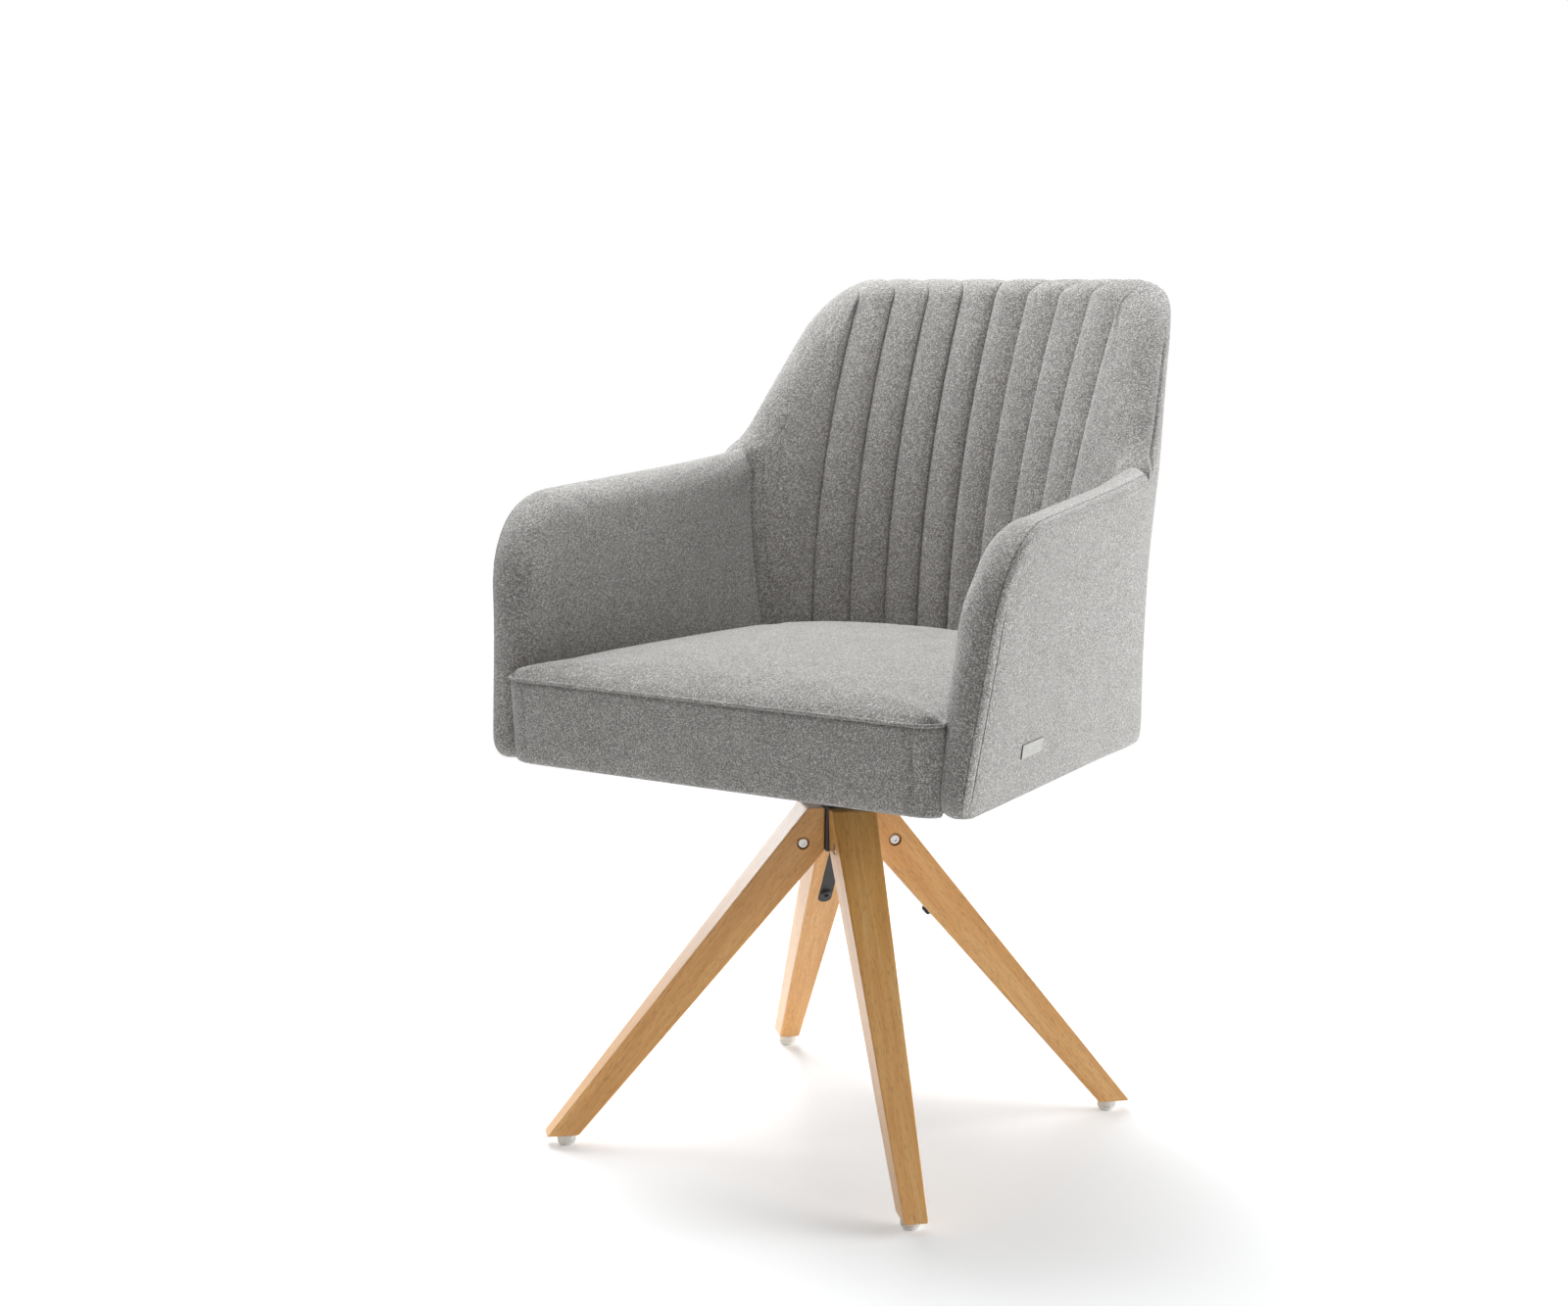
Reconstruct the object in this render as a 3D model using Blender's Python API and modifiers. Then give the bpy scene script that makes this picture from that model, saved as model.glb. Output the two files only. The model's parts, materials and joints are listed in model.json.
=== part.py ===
"""Swivel armchair: a padded bucket seat with a channelled back, turning on four wooden legs.

Metres, +Z up. The chair faces -Y. The swivel axis is vertical, AXIS_Y in front of the middle of
the chair's footprint, and every piece is placed from that axis.
"""

import math

import bmesh
import bpy
from mathutils import Matrix, Vector

# Clearances
GAP = 0.0003                # rigid pieces that touch
TURN_GAP = 0.0001           # spindle in its bushes, on the radius
SOFT_GAP = 0.0008           # upholstered pieces that touch
BOARD_GAP = 0.0015          # foam in front of a bent board

# Hub, its tabs and its arms
HUB_SIDE = 0.050
HUB_HEIGHT = 0.0503
HUB_ABOVE_LEGS = 0.005
HUB_ROUNDING = 0.002
TAB_THICKNESS = 0.006
TAB_BELOW_BOLT = 0.0053
TAB_ABOVE_BOLT = 0.013
TAB_PAST_BOLT = 0.0084
ARM_BAR_WIDTH = 0.014
ARM_BAR_THICKNESS = 0.004
ARM_BAR_LENGTH = 0.110
ARM_SCREW_INSET = 0.016     # from the bar's rounded end

# Legs: a foot on the floor, a head against the hub
GLIDE_HEIGHT = 0.011
FOOT_RADIUS = 0.2917        # swivel axis to the middle of the foot
FOOT_DEPTH = 0.0328         # along the leg's spread, level
FOOT_WIDTH = 0.0230
LEG_TOP = 0.342
HEAD_DEPTH = 0.0182         # level top cut, from the hub outwards
HEAD_SET_BACK = 0.0021      # each side of the head, from the hub's corner
LEG_ROUNDING = 0.0016
LEG_NAMES = ("rear_right", "rear_left", "front_left", "front_right")
FIRST_LEG_ANGLE = math.radians(45)

# Fasteners
CROSS_BOLT_INSET = 0.0223   # from the leg's face on the hub
CROSS_BOLT_RISE = 0.0093    # above the hub's lower edge
CROSS_HEAD_RADIUS = 0.0060
CROSS_HEAD_HEIGHT = 0.0028
COUNTERBORE_CLEARANCE = 0.0008
COUNTERBORE_DEPTH = 0.0036
CROSS_SHANK_RADIUS = 0.0025
SLEEVE_CLEARANCE = 0.0004   # bolt in its sleeve nut, on the radius
SLEEVE_WALL = 0.0011
SCREW_HEAD_RADIUS = 0.0055
SCREW_HEAD_HEIGHT = 0.0030
SCREW_SHANK_RADIUS = 0.0019
SCREW_LENGTH = 0.022
SOCKET_RADIUS = 0.0024      # hexagon socket, over its corners
SOCKET_DEPTH = 0.0016
PLATE_BOLT_HEAD_RADIUS = 0.0060
PLATE_BOLT_HEAD_HEIGHT = 0.0038
PLATE_BOLT_RADIUS = 0.0029
PLATE_BOLT_INSET = 0.020    # from the swivel plate's sides

# Glides
GLIDE_INSET = 0.0052        # from the middle of the foot towards the swivel axis
GLIDE_RADIUS = 0.0098
GLIDE_FACE_RADIUS = 0.0070
GLIDE_STUD_RADIUS = 0.0022
GLIDE_STUD_LENGTH = 0.014

# Swivel bearing
SPINDLE_RADIUS = 0.0125
COLLAR_RADIUS = 0.0230
BUSH_WALL = 0.0022
BUSH_LENGTH = 0.014
BUSH_FLANGE_RADIUS = 0.0215
BUSH_FLANGE = 0.0024
WASHER_THICKNESS = 0.0020
RECESS_WALL = 0.0042        # hub's recess, past the bush's sleeve
RECESS_CLEARANCE = 0.0010
HUB_RECESS_DEPTH = 0.0095
RING_THICKNESS = 0.0018
RING_WIDTH = 0.0040         # past the spindle, on the radius
RING_GROOVE = 0.0020
RING_OPENING = 0.006
PLATE_SIDE = 0.170
PLATE_THICKNESS = 0.004
PLATE_CORNER = 0.014

# Seat underside, board and cushion
SEAT_ABOVE_HUB = 0.0485
COVER_THICKNESS = 0.0016
COVER_INSET = 0.014
SEAT_BOARD_THICKNESS = 0.012
SEAT_BOARD_INSET = 0.030
CUSHION_FRONT = 0.2450      # swivel axis to the front seam
CUSHION_SEAM = 0.0835       # above the seat's underside
CUSHION_SEAM_RISE = 0.007   # the seam climbs this much to the back
CUSHION_FRONT_RAKE = 0.110  # the front panel leans forward going up
CUSHION_CORNER = 0.020
CUSHION_FLARE = 0.003       # the front corners bulge round the arms' soft edges
CUSHION_CROWN = 0.030
CUSHION_CROWN_POWER = 4.5
CUSHION_DRAW_IN = 0.0025
CUSHION_EDGE = 0.003

# Wall of the bucket: back, its channels and its thickness. Heights are above the seat's underside
BACK_RISE = 0.4745
BACK_DATUM_RISE = 0.2545    # height at which the back's places and pitch are given
OUTER_BACK_Y = 0.282        # swivel axis to the outside of the back
OUTER_BACK_SLOPE = 0.172
OUTER_BACK_SWEEP = 0.0203   # further back at the top than the slope takes it
BACK_THICKNESS = 0.056
INNER_BACK_SLOPE = 0.243
INNER_BACK_SWEEP = 0.0293
BACK_HOLLOW = 0.0794        # middle of the back behind its side seams
BACK_HOLLOW_SLOPE = -0.199
TOP_CORNER = 0.054
CHANNELS_PER_SIDE = 4
CHANNEL_PITCH = 0.0378
CHANNEL_PITCH_SLOPE = 0.0125
CHANNEL_RISE = 0.006
CHANNEL_TOP_DIP = 0.0025
PANEL_SPLIT = 2             # sewn line behind which side panel and back panel meet
WING_WIDTH = 0.0723         # last sewn line to the wing's edge
WING_EDGE_RISE = 0.0210     # widest place of the wing's edge, above the arm's rear
WING_FLARE = 0.215
WING_NARROWING = 0.22

# Wall of the bucket: arms
ARM_FRONT = 0.232           # swivel axis to the arm's front, at the bottom
ARM_FRONT_RAKE = 0.10
ARM_SPLAY = 0.016           # arm's front, at the bottom, past the junction with the wing
ARM_THICKNESS = 0.0429      # at the front, at the height of the cushion's seam
ARM_LEAN = 0.113
ARM_INNER_LEAN_LOW = -0.070 # behind the cushion
ARM_RISE_FRONT = 0.2555
ARM_RISE_REAR = 0.2835
ARM_CORNER = 0.080

# Wall of the bucket: rear corner, about the point where arm and wing meet
JUNCTION_DROP = 0.003       # below the arm's rear end
JUNCTION_WALL = 0.0325      # past the wing's edge seam
JUNCTION_DEPTH = 0.119      # in front of the outside of the back
JUNCTION_SOFTNESS = 0.030
SIDE_FLARE = 0.0725
SIDE_NARROWING = 0.245
SIDE_RUN = 0.373
WING_RUN = 0.745
CORNER_TOE_LOW = 0.105
CORNER_TOE_HIGH = 0.500
CORNER_HANDLE_LOW = 0.215
CORNER_HANDLE_HIGH = 0.044
BACK_HANDLE_LOW = 0.267
BACK_HANDLE_HIGH = 0.130

# Layers of the wall, from the outside in
PANEL_THICKNESS = 0.004
BOARD_THICKNESS = 0.010
EDGE_ROUNDING = 0.0185      # soft rim in front of the panels and boards
EDGE_FLAT = 0.14            # share of the wall left square at the rim
SEAM_STEP = 0.0015

# Bare metal plate on the right side panel
LABEL_FRONT = 0.119         # in front of the swivel axis
LABEL_LENGTH = 0.050
LABEL_HEIGHT = 0.013
LABEL_RISE = 0.0385         # above the seat's underside
LABEL_THICKNESS = 0.0012

# Facets
TURN_STEPS = 32
SMALL_STEPS = 16
SOCKET_STEPS = 6

# Worked out from the sizes above
HUB_TOP = LEG_TOP + HUB_ABOVE_LEGS
HUB_BOTTOM = HUB_TOP - HUB_HEIGHT
LEG_INNER = HUB_SIDE / 2 + GAP
HEAD_WIDTH = HUB_SIDE - 2 * HEAD_SET_BACK
FOOT_INNER = FOOT_RADIUS - FOOT_DEPTH / 2
FOOT_OUTER = FOOT_RADIUS + FOOT_DEPTH / 2
GLIDE_RADIUS_AT = FOOT_RADIUS - GLIDE_INSET
CROSS_BOLT_RADIUS_AT = LEG_INNER + CROSS_BOLT_INSET
CROSS_BOLT_HEIGHT = HUB_BOTTOM + CROSS_BOLT_RISE
TAB_LENGTH = GAP + CROSS_BOLT_INSET + TAB_PAST_BOLT
TAB_LOW = CROSS_BOLT_HEIGHT - TAB_BELOW_BOLT
TAB_HIGH = CROSS_BOLT_HEIGHT + TAB_ABOVE_BOLT
COUNTERBORE_RADIUS = CROSS_HEAD_RADIUS + COUNTERBORE_CLEARANCE
SLEEVE_BORE_RADIUS = CROSS_SHANK_RADIUS + SLEEVE_CLEARANCE
SLEEVE_RADIUS = SLEEVE_BORE_RADIUS + SLEEVE_WALL
PLATE_BOLT_SPREAD = PLATE_SIDE / 2 - PLATE_BOLT_INSET
BUSH_RADIUS = SPINDLE_RADIUS + TURN_GAP + BUSH_WALL
HUB_BORE_RADIUS = BUSH_RADIUS + GAP
HUB_RECESS_RADIUS = BUSH_RADIUS + RECESS_WALL
LOW_FLANGE_RADIUS = HUB_RECESS_RADIUS - RECESS_CLEARANCE
RING_RADIUS = SPINDLE_RADIUS + RING_WIDTH
RECESS_TOP = HUB_BOTTOM + HUB_RECESS_DEPTH
SHELL_BOTTOM = HUB_TOP + SEAT_ABOVE_HUB
COVER_LOW = SHELL_BOTTOM
BOARD_LOW = COVER_LOW + COVER_THICKNESS + GAP
BOARD_HIGH = BOARD_LOW + SEAT_BOARD_THICKNESS
CUSHION_LOW = BOARD_LOW + GAP
CUSHION_SEAM_HEIGHT = SHELL_BOTTOM + CUSHION_SEAM
PLATE_TOP = COVER_LOW - GAP
COLLAR_TOP = PLATE_TOP - PLATE_THICKNESS - GAP
WALL_LOW = SHELL_BOTTOM
BACK_TOP = WALL_LOW + BACK_RISE
BACK_DATUM = WALL_LOW + BACK_DATUM_RISE
INNER_BACK_Y = OUTER_BACK_Y - BACK_THICKNESS
ARM_TOP_FRONT = WALL_LOW + ARM_RISE_FRONT
ARM_TOP_REAR = WALL_LOW + ARM_RISE_REAR
ARM_HEIGHT = ARM_RISE_FRONT
SEAM_Z = ARM_TOP_REAR + WING_EDGE_RISE
SEAM_X = CHANNELS_PER_SIDE * CHANNEL_PITCH + WING_WIDTH
JUNCTION_X = SEAM_X + JUNCTION_WALL
JUNCTION_Y = OUTER_BACK_Y - JUNCTION_DEPTH
JUNCTION_Z = ARM_TOP_REAR - JUNCTION_DROP
ARM_LENGTH = ARM_FRONT + JUNCTION_Y
ARM_OUTER_X = JUNCTION_X + ARM_SPLAY
ARM_INNER_X = ARM_OUTER_X + ARM_LEAN * CUSHION_SEAM - ARM_THICKNESS
LABEL_LOW = WALL_LOW + LABEL_RISE
PANEL_EDGE = EDGE_ROUNDING + SEAM_STEP + GAP
BOARD_FACE = PANEL_THICKNESS + GAP
BOARD_BACK = BOARD_FACE + BOARD_THICKNESS
FOAM_FACE = BOARD_BACK + BOARD_GAP


def mix(a, b, share):
    return a + (b - a) * share


def bent(run, low, high, softness):
    """A line through 0 whose slope turns softly from low to high there."""
    return 0.5 * (low + high) * run + 0.5 * (high - low) * (math.hypot(run, softness) - softness)


def smooth(share):
    share = min(1.0, max(0.0, share))
    return share * share * (3 - 2 * share)


# The wall's outer and inner faces


def height_share(z):
    return (z - WALL_LOW) / (BACK_TOP - WALL_LOW)


def side_x(z):
    return JUNCTION_X + bent(z - JUNCTION_Z, SIDE_FLARE, -SIDE_NARROWING, JUNCTION_SOFTNESS)


def side_y(z):
    return JUNCTION_Y + bent(z - JUNCTION_Z, SIDE_RUN, WING_RUN, JUNCTION_SOFTNESS)


def swept(rise, sweep):
    """How far a back that bends away has gone at a height above the datum: sweep, at its top."""
    share = rise / (BACK_TOP - BACK_DATUM)
    return sweep * share * share


def outer_back_y(z):
    rise = z - BACK_DATUM
    return OUTER_BACK_Y + OUTER_BACK_SLOPE * rise + swept(rise, OUTER_BACK_SWEEP)


def inner_back_y(x, z):
    rise = z - BACK_DATUM
    hollow = (BACK_HOLLOW + BACK_HOLLOW_SLOPE * rise) * (x / SEAM_X) ** 2
    return INNER_BACK_Y + INNER_BACK_SLOPE * rise + swept(rise, INNER_BACK_SWEEP) - hollow


def seam_x(z):
    return SEAM_X + bent(z - SEAM_Z, WING_FLARE, -WING_NARROWING, JUNCTION_SOFTNESS)


def arm_front_y(z):
    return -ARM_FRONT + ARM_FRONT_RAKE * (z - WALL_LOW)


def outer_face(s, z):
    """Point of the right half's outer face: s is -1 at the arm's front, 0 at the corner, 1 in the middle."""
    corner = Vector((side_x(z), side_y(z), z))
    if s < 0:
        front = Vector((ARM_OUTER_X + ARM_LEAN * (z - WALL_LOW), arm_front_y(z), z))
        return corner.lerp(front, -s)
    share = height_share(z)
    toe = Vector((-mix(CORNER_TOE_LOW, CORNER_TOE_HIGH, share * share), 1, 0))
    middle = Vector((0, outer_back_y(z), z))
    near = corner + toe * mix(CORNER_HANDLE_LOW, CORNER_HANDLE_HIGH, share)
    far = middle + Vector((mix(BACK_HANDLE_LOW, BACK_HANDLE_HIGH, share), 0, 0))
    left = 1 - s
    return corner * left**3 + near * 3 * left**2 * s + far * 3 * left * s**2 + middle * s**3


def inner_face(s, z):
    corner = Vector((seam_x(z), inner_back_y(seam_x(z), z), z))
    if s < 0:
        lean = bent(z - CUSHION_SEAM_HEIGHT, ARM_INNER_LEAN_LOW, ARM_LEAN, JUNCTION_SOFTNESS)
        front = Vector((ARM_INNER_X + lean, arm_front_y(z), z))
        return corner.lerp(front, -s)
    x = seam_x(z) * (1 - s)
    return Vector((x, inner_back_y(x, z), z))


def wall_point(s, z, depth):
    """Point at a depth from the outer face, straight towards the inner face."""
    outer = outer_face(s, z)
    return outer + (inner_face(s, z) - outer).normalized() * depth


def wall_thickness(s, z):
    return (inner_face(s, z) - outer_face(s, z)).length


def rim_fullness(edge):
    """How full the wall is at a distance from its soft rim: round, from EDGE_FLAT to 1."""
    left = 1 - min(1.0, edge / EDGE_ROUNDING)
    return max(EDGE_FLAT, math.sqrt(1 - left * left))


# Scene and mesh helpers


def clear_scene():
    for old in list(bpy.data.objects):
        bpy.data.objects.remove(old)


def new_collection(name):
    collection = bpy.data.collections.new(name)
    bpy.context.scene.collection.children.link(collection)
    return collection


def new_material(name, colour, roughness, metallic=0.0):
    material = bpy.data.materials.new(name)
    material.use_nodes = True
    shader = material.node_tree.nodes["Principled BSDF"]
    shader.inputs["Base Color"].default_value = (*colour, 1)
    shader.inputs["Roughness"].default_value = roughness
    shader.inputs["Metallic"].default_value = metallic
    return material


def new_empty(name, parent=None, location=(0, 0, 0), turn=0.0):
    empty = bpy.data.objects.new(name, None)
    empty.empty_display_size = 0.05
    empty.location = location
    empty.rotation_euler.z = turn
    empty.parent = parent
    PARTS.objects.link(empty)
    return empty


def add_part(name, mesh, material, parent, location=(0, 0, 0), rotation=(0, 0, 0)):
    if not mesh.materials:
        mesh.materials.append(material)
    part = bpy.data.objects.new(name, mesh)
    part.parent = parent
    part.location = location
    part.rotation_euler = rotation
    PARTS.objects.link(part)
    return part


def as_mesh(build, name):
    """Mesh of a bmesh, closed and facing out."""
    bmesh.ops.recalc_face_normals(build, faces=build.faces)
    mesh = bpy.data.meshes.new(name)
    build.to_mesh(mesh)
    build.free()
    mesh.shade_smooth()
    mesh.set_sharp_from_angle(angle=math.radians(35))
    return mesh


def evaluated_mesh(helper, name):
    """Plain mesh of a helper object with its modifiers, and the helper removed."""
    bpy.context.view_layer.update()
    graph = bpy.context.evaluated_depsgraph_get()
    mesh = bpy.data.meshes.new_from_object(helper.evaluated_get(graph))
    bpy.data.objects.remove(helper)
    build = bmesh.new()
    build.from_mesh(mesh)
    bpy.data.meshes.remove(mesh)
    bmesh.ops.remove_doubles(build, verts=build.verts, dist=1e-6)
    return as_mesh(build, name)


def helper_object(name, data):
    helper = bpy.data.objects.new(name, data)
    helper.hide_render = True
    helper.display_type = "WIRE"
    CUTTERS.objects.link(helper)
    return helper


def block_mesh(name, size, centre, rounding=0.0):
    build = bmesh.new()
    place = Matrix.Translation(centre) @ Matrix.Diagonal((*size, 1))
    bmesh.ops.create_cube(build, size=1, matrix=place)
    mesh = as_mesh(build, name)
    if not rounding:
        return mesh
    helper = helper_object(name, mesh)
    bevel = helper.modifiers.new("rounded edges", "BEVEL")
    bevel.width = rounding
    bevel.segments = 2
    return evaluated_mesh(helper, name)


def rod_mesh(name, radius, start, end, steps=SMALL_STEPS):
    """Solid rod between two points."""
    start, end = Vector(start), Vector(end)
    along = end - start
    place = Matrix.Translation((start + end) / 2) @ along.to_track_quat("Z", "Y").to_matrix().to_4x4()
    build = bmesh.new()
    bmesh.ops.create_cone(build, cap_ends=True, segments=steps, radius1=radius, radius2=radius,
                          depth=along.length, matrix=place)
    return as_mesh(build, name)


def corners_of(points):
    """The outline's points without those in the middle of a straight run."""
    corners = []
    for i, point in enumerate(points):
        before = Vector(point) - Vector(points[i - 1])
        after = Vector(points[(i + 1) % len(points)]) - Vector(point)
        if abs(before.normalized().cross(after.normalized())) > 1e-4:
            corners.append(point)
    return corners


def outline_mesh(name, points, low, high):
    """Flat outline in XY, filled between two heights."""
    points = corners_of(points)
    curve = bpy.data.curves.new(name, "CURVE")
    curve.dimensions = "2D"
    curve.fill_mode = "BOTH"
    curve.extrude = (high - low) / 2
    spline = curve.splines.new("POLY")
    spline.points.add(len(points) - 1)
    for point, (x, y) in zip(spline.points, points):
        point.co = (x, y, 0, 1)
    spline.use_cyclic_u = True
    mesh = evaluated_mesh(helper_object(name, curve), name)
    mesh.transform(Matrix.Translation((0, 0, (low + high) / 2)))
    return mesh


def turned_mesh(name, profile, steps=TURN_STEPS):
    """Profile of (radius, height) points turned round Z. A profile off the axis is a closed ring."""
    mesh = bpy.data.meshes.new(name)
    count = len(profile)
    on_axis = profile[0][0] == 0 and profile[-1][0] == 0
    edges = [(i, (i + 1) % count) for i in range(count - 1 if on_axis else count)]
    mesh.from_pydata([(r, 0, z) for r, z in profile], edges, [])
    helper = helper_object(name, mesh)
    screw = helper.modifiers.new("turn", "SCREW")
    screw.steps = steps
    screw.render_steps = steps
    screw.use_merge_vertices = True
    screw.merge_threshold = 0.0001
    return evaluated_mesh(helper, name)


def ring_profile(inner, outer, low, high):
    return [(outer, high), (outer, low), (inner, low), (inner, high)]


def combined(name, mesh, pieces, operation):
    """The mesh with other meshes cut out of it or joined to it."""
    helper = helper_object(name, mesh)
    others = []
    for index, piece in enumerate(pieces):
        other = helper_object(f"{name}_{operation.lower()}_{index}", piece)
        boolean = helper.modifiers.new(other.name, "BOOLEAN")
        boolean.operation = operation
        boolean.object = other
        others.append(other)
    result = evaluated_mesh(helper, name)
    for other in others:
        bpy.data.objects.remove(other)
    return result


def slab_mesh(name, columns, rows, outer, inner, keep=None, halved=False):
    """Closed solid between two surfaces over the same columns and rows.

    keep chooses the cells. A halved slab ends at the chair's middle and is mirrored there.
    """
    build = bmesh.new()
    nodes = {}

    def node(side, i, j):
        if (side, i, j) not in nodes:
            place = (outer, inner)[side](columns[i], rows[j])
            nodes[side, i, j] = build.verts.new(place)
        return nodes[side, i, j]

    cells = {(i, j) for i in range(len(columns) - 1) for j in range(len(rows) - 1)
             if keep is None or keep(columns[i], rows[j])}
    for i, j in sorted(cells):
        ring = ((i, j), (i + 1, j), (i + 1, j + 1), (i, j + 1))
        build.faces.new([node(0, *at) for at in ring])
        build.faces.new([node(1, *at) for at in ring])
        beside = ((i, j - 1), (i + 1, j), (i, j + 1), (i - 1, j))
        for corner, neighbour in enumerate(beside):
            if neighbour in cells:
                continue
            if halved and neighbour[0] == len(columns) - 1:
                continue
            a, b = sorted((ring[corner], ring[(corner + 1) % 4]))
            build.faces.new([node(0, *a), node(0, *b), node(1, *b), node(1, *a)])
    bmesh.ops.triangulate(build, faces=build.faces, quad_method="FIXED")
    if halved:
        half = build.verts[:] + build.edges[:] + build.faces[:]
        bmesh.ops.mirror(build, geom=half, axis="X", merge_dist=1e-6)
    return as_mesh(build, name)


def mirrored(mesh, name):
    build = bmesh.new()
    build.from_mesh(mesh)
    bmesh.ops.scale(build, verts=build.verts, vec=(-1, 1, 1))
    return as_mesh(build, name)


# Legs and what holds them


def leg_width(z):
    return mix(FOOT_WIDTH, HEAD_WIDTH, (z - GLIDE_HEIGHT) / (LEG_TOP - GLIDE_HEIGHT))


def underside():
    """Start of the leg's underside at the hub, its direction and its inward normal, in X and Z."""
    start = Vector((LEG_INNER, 0, HUB_BOTTOM))
    along = (Vector((FOOT_INNER, 0, GLIDE_HEIGHT)) - start).normalized()
    return start, along, Vector((-along.z, 0, along.x))


def underside_place():
    """Matrix that lays XY outlines along the underside, with Z going into the leg."""
    start, along, inward = underside()
    across = inward.cross(along)
    place = Matrix((along, across, inward)).transposed().to_4x4()
    place.translation = start
    return place


def bar_outline(grow):
    half = ARM_BAR_WIDTH / 2 + grow
    middle = ARM_BAR_LENGTH - ARM_BAR_WIDTH / 2
    turns = [math.radians(-90 + 180 * i / 8) for i in range(9)]
    end = [(middle + half * math.cos(t), half * math.sin(t)) for t in turns]
    return [(0, -half)] + end + [(0, half)]


def bar_mesh(name, grow, low, high):
    mesh = outline_mesh(name, bar_outline(grow), low, high)
    mesh.transform(underside_place())
    return mesh


def arm_screw_axis():
    start, along, inward = underside()
    return start + along * (ARM_BAR_LENGTH - ARM_SCREW_INSET), inward


def cross_bolt_point(y):
    return Vector((CROSS_BOLT_RADIUS_AT, y, CROSS_BOLT_HEIGHT))


def make_leg():
    outline = [(FOOT_INNER, GLIDE_HEIGHT), (FOOT_OUTER, GLIDE_HEIGHT), (LEG_INNER + HEAD_DEPTH, LEG_TOP),
               (LEG_INNER, LEG_TOP), (LEG_INNER, HUB_BOTTOM)]
    mesh = outline_mesh("leg", outline, -0.5, 0.5)
    for vertex in mesh.vertices:
        x, z, side = vertex.co
        vertex.co = (x, -side * leg_width(z), z)
    helper = helper_object("leg", mesh)
    bevel = helper.modifiers.new("rounded edges", "BEVEL")
    bevel.width = LEG_ROUNDING
    bevel.segments = 2
    mesh = evaluated_mesh(helper, "leg")
    reach = HEAD_WIDTH
    hole = SLEEVE_RADIUS + GAP
    floor = leg_width(CROSS_BOLT_HEIGHT) / 2 - COUNTERBORE_DEPTH
    point, inward = arm_screw_axis()
    tab_size = (TAB_LENGTH + 2 * GAP, TAB_THICKNESS + 2 * GAP, TAB_HIGH - TAB_LOW + 2 * GAP)
    tab_centre = (LEG_INNER + TAB_LENGTH / 2, 0, (TAB_LOW + TAB_HIGH) / 2)
    stud = (GLIDE_RADIUS_AT, 0, GLIDE_HEIGHT + GLIDE_STUD_LENGTH + GAP)
    cuts = [
        bar_mesh("arm_groove", GAP, -ARM_BAR_THICKNESS, ARM_BAR_THICKNESS + GAP),
        block_mesh("tab_slot", tab_size, tab_centre),
        rod_mesh("cross_hole", hole, cross_bolt_point(-reach), cross_bolt_point(reach)),
        rod_mesh("bolt_seat", COUNTERBORE_RADIUS, cross_bolt_point(floor), cross_bolt_point(reach)),
        rod_mesh("nut_seat", COUNTERBORE_RADIUS, cross_bolt_point(-floor), cross_bolt_point(-reach)),
        rod_mesh("screw_hole", SCREW_SHANK_RADIUS + GAP, point, point + inward * (SCREW_LENGTH + GAP)),
        rod_mesh("stud_hole", GLIDE_STUD_RADIUS + GAP, (GLIDE_RADIUS_AT, 0, 0), stud),
    ]
    return combined("leg", mesh, cuts, "DIFFERENCE")


def make_arm_bar():
    point, inward = arm_screw_axis()
    bar = bar_mesh("hub_arm", 0, 0, ARM_BAR_THICKNESS)
    reach = inward * SCREW_LENGTH
    hole = rod_mesh("arm_hole", SCREW_SHANK_RADIUS + GAP, point - reach, point + reach)
    return combined("hub_arm", bar, [hole], "DIFFERENCE")


def headed(name, head_radius, head_height, shank_radius, length):
    """Screw along +Z: its head below 0 with a hexagon socket, its shank above."""
    crown = head_radius * 0.72
    profile = [(0, length), (shank_radius, length), (shank_radius, 0), (head_radius, 0),
               (head_radius, -head_height * 0.45), (crown, -head_height), (0, -head_height)]
    mesh = turned_mesh(name, profile, SMALL_STEPS)
    low = (0, 0, -head_height - SOCKET_DEPTH)
    socket = rod_mesh("socket", SOCKET_RADIUS, low, (0, 0, -head_height + SOCKET_DEPTH), SOCKET_STEPS)
    return combined(name, mesh, [socket], "DIFFERENCE")


def make_sleeve_nut(length):
    mesh = headed("sleeve_nut", CROSS_HEAD_RADIUS, CROSS_HEAD_HEIGHT, SLEEVE_RADIUS, length)
    bore = rod_mesh("thread", SLEEVE_BORE_RADIUS, (0, 0, SOCKET_DEPTH), (0, 0, length + SOCKET_DEPTH))
    return combined("sleeve_nut", mesh, [bore], "DIFFERENCE")


def make_glide():
    top = GLIDE_HEIGHT - GAP
    shoulder = GLIDE_HEIGHT * 0.42
    profile = [(0, top + GLIDE_STUD_LENGTH), (GLIDE_STUD_RADIUS, top + GLIDE_STUD_LENGTH),
               (GLIDE_STUD_RADIUS, top), (GLIDE_RADIUS, top), (GLIDE_RADIUS, shoulder),
               (mix(GLIDE_FACE_RADIUS, GLIDE_RADIUS, 0.6), shoulder * 0.3), (GLIDE_FACE_RADIUS, 0), (0, 0)]
    return turned_mesh("glide", profile, SMALL_STEPS)


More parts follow.
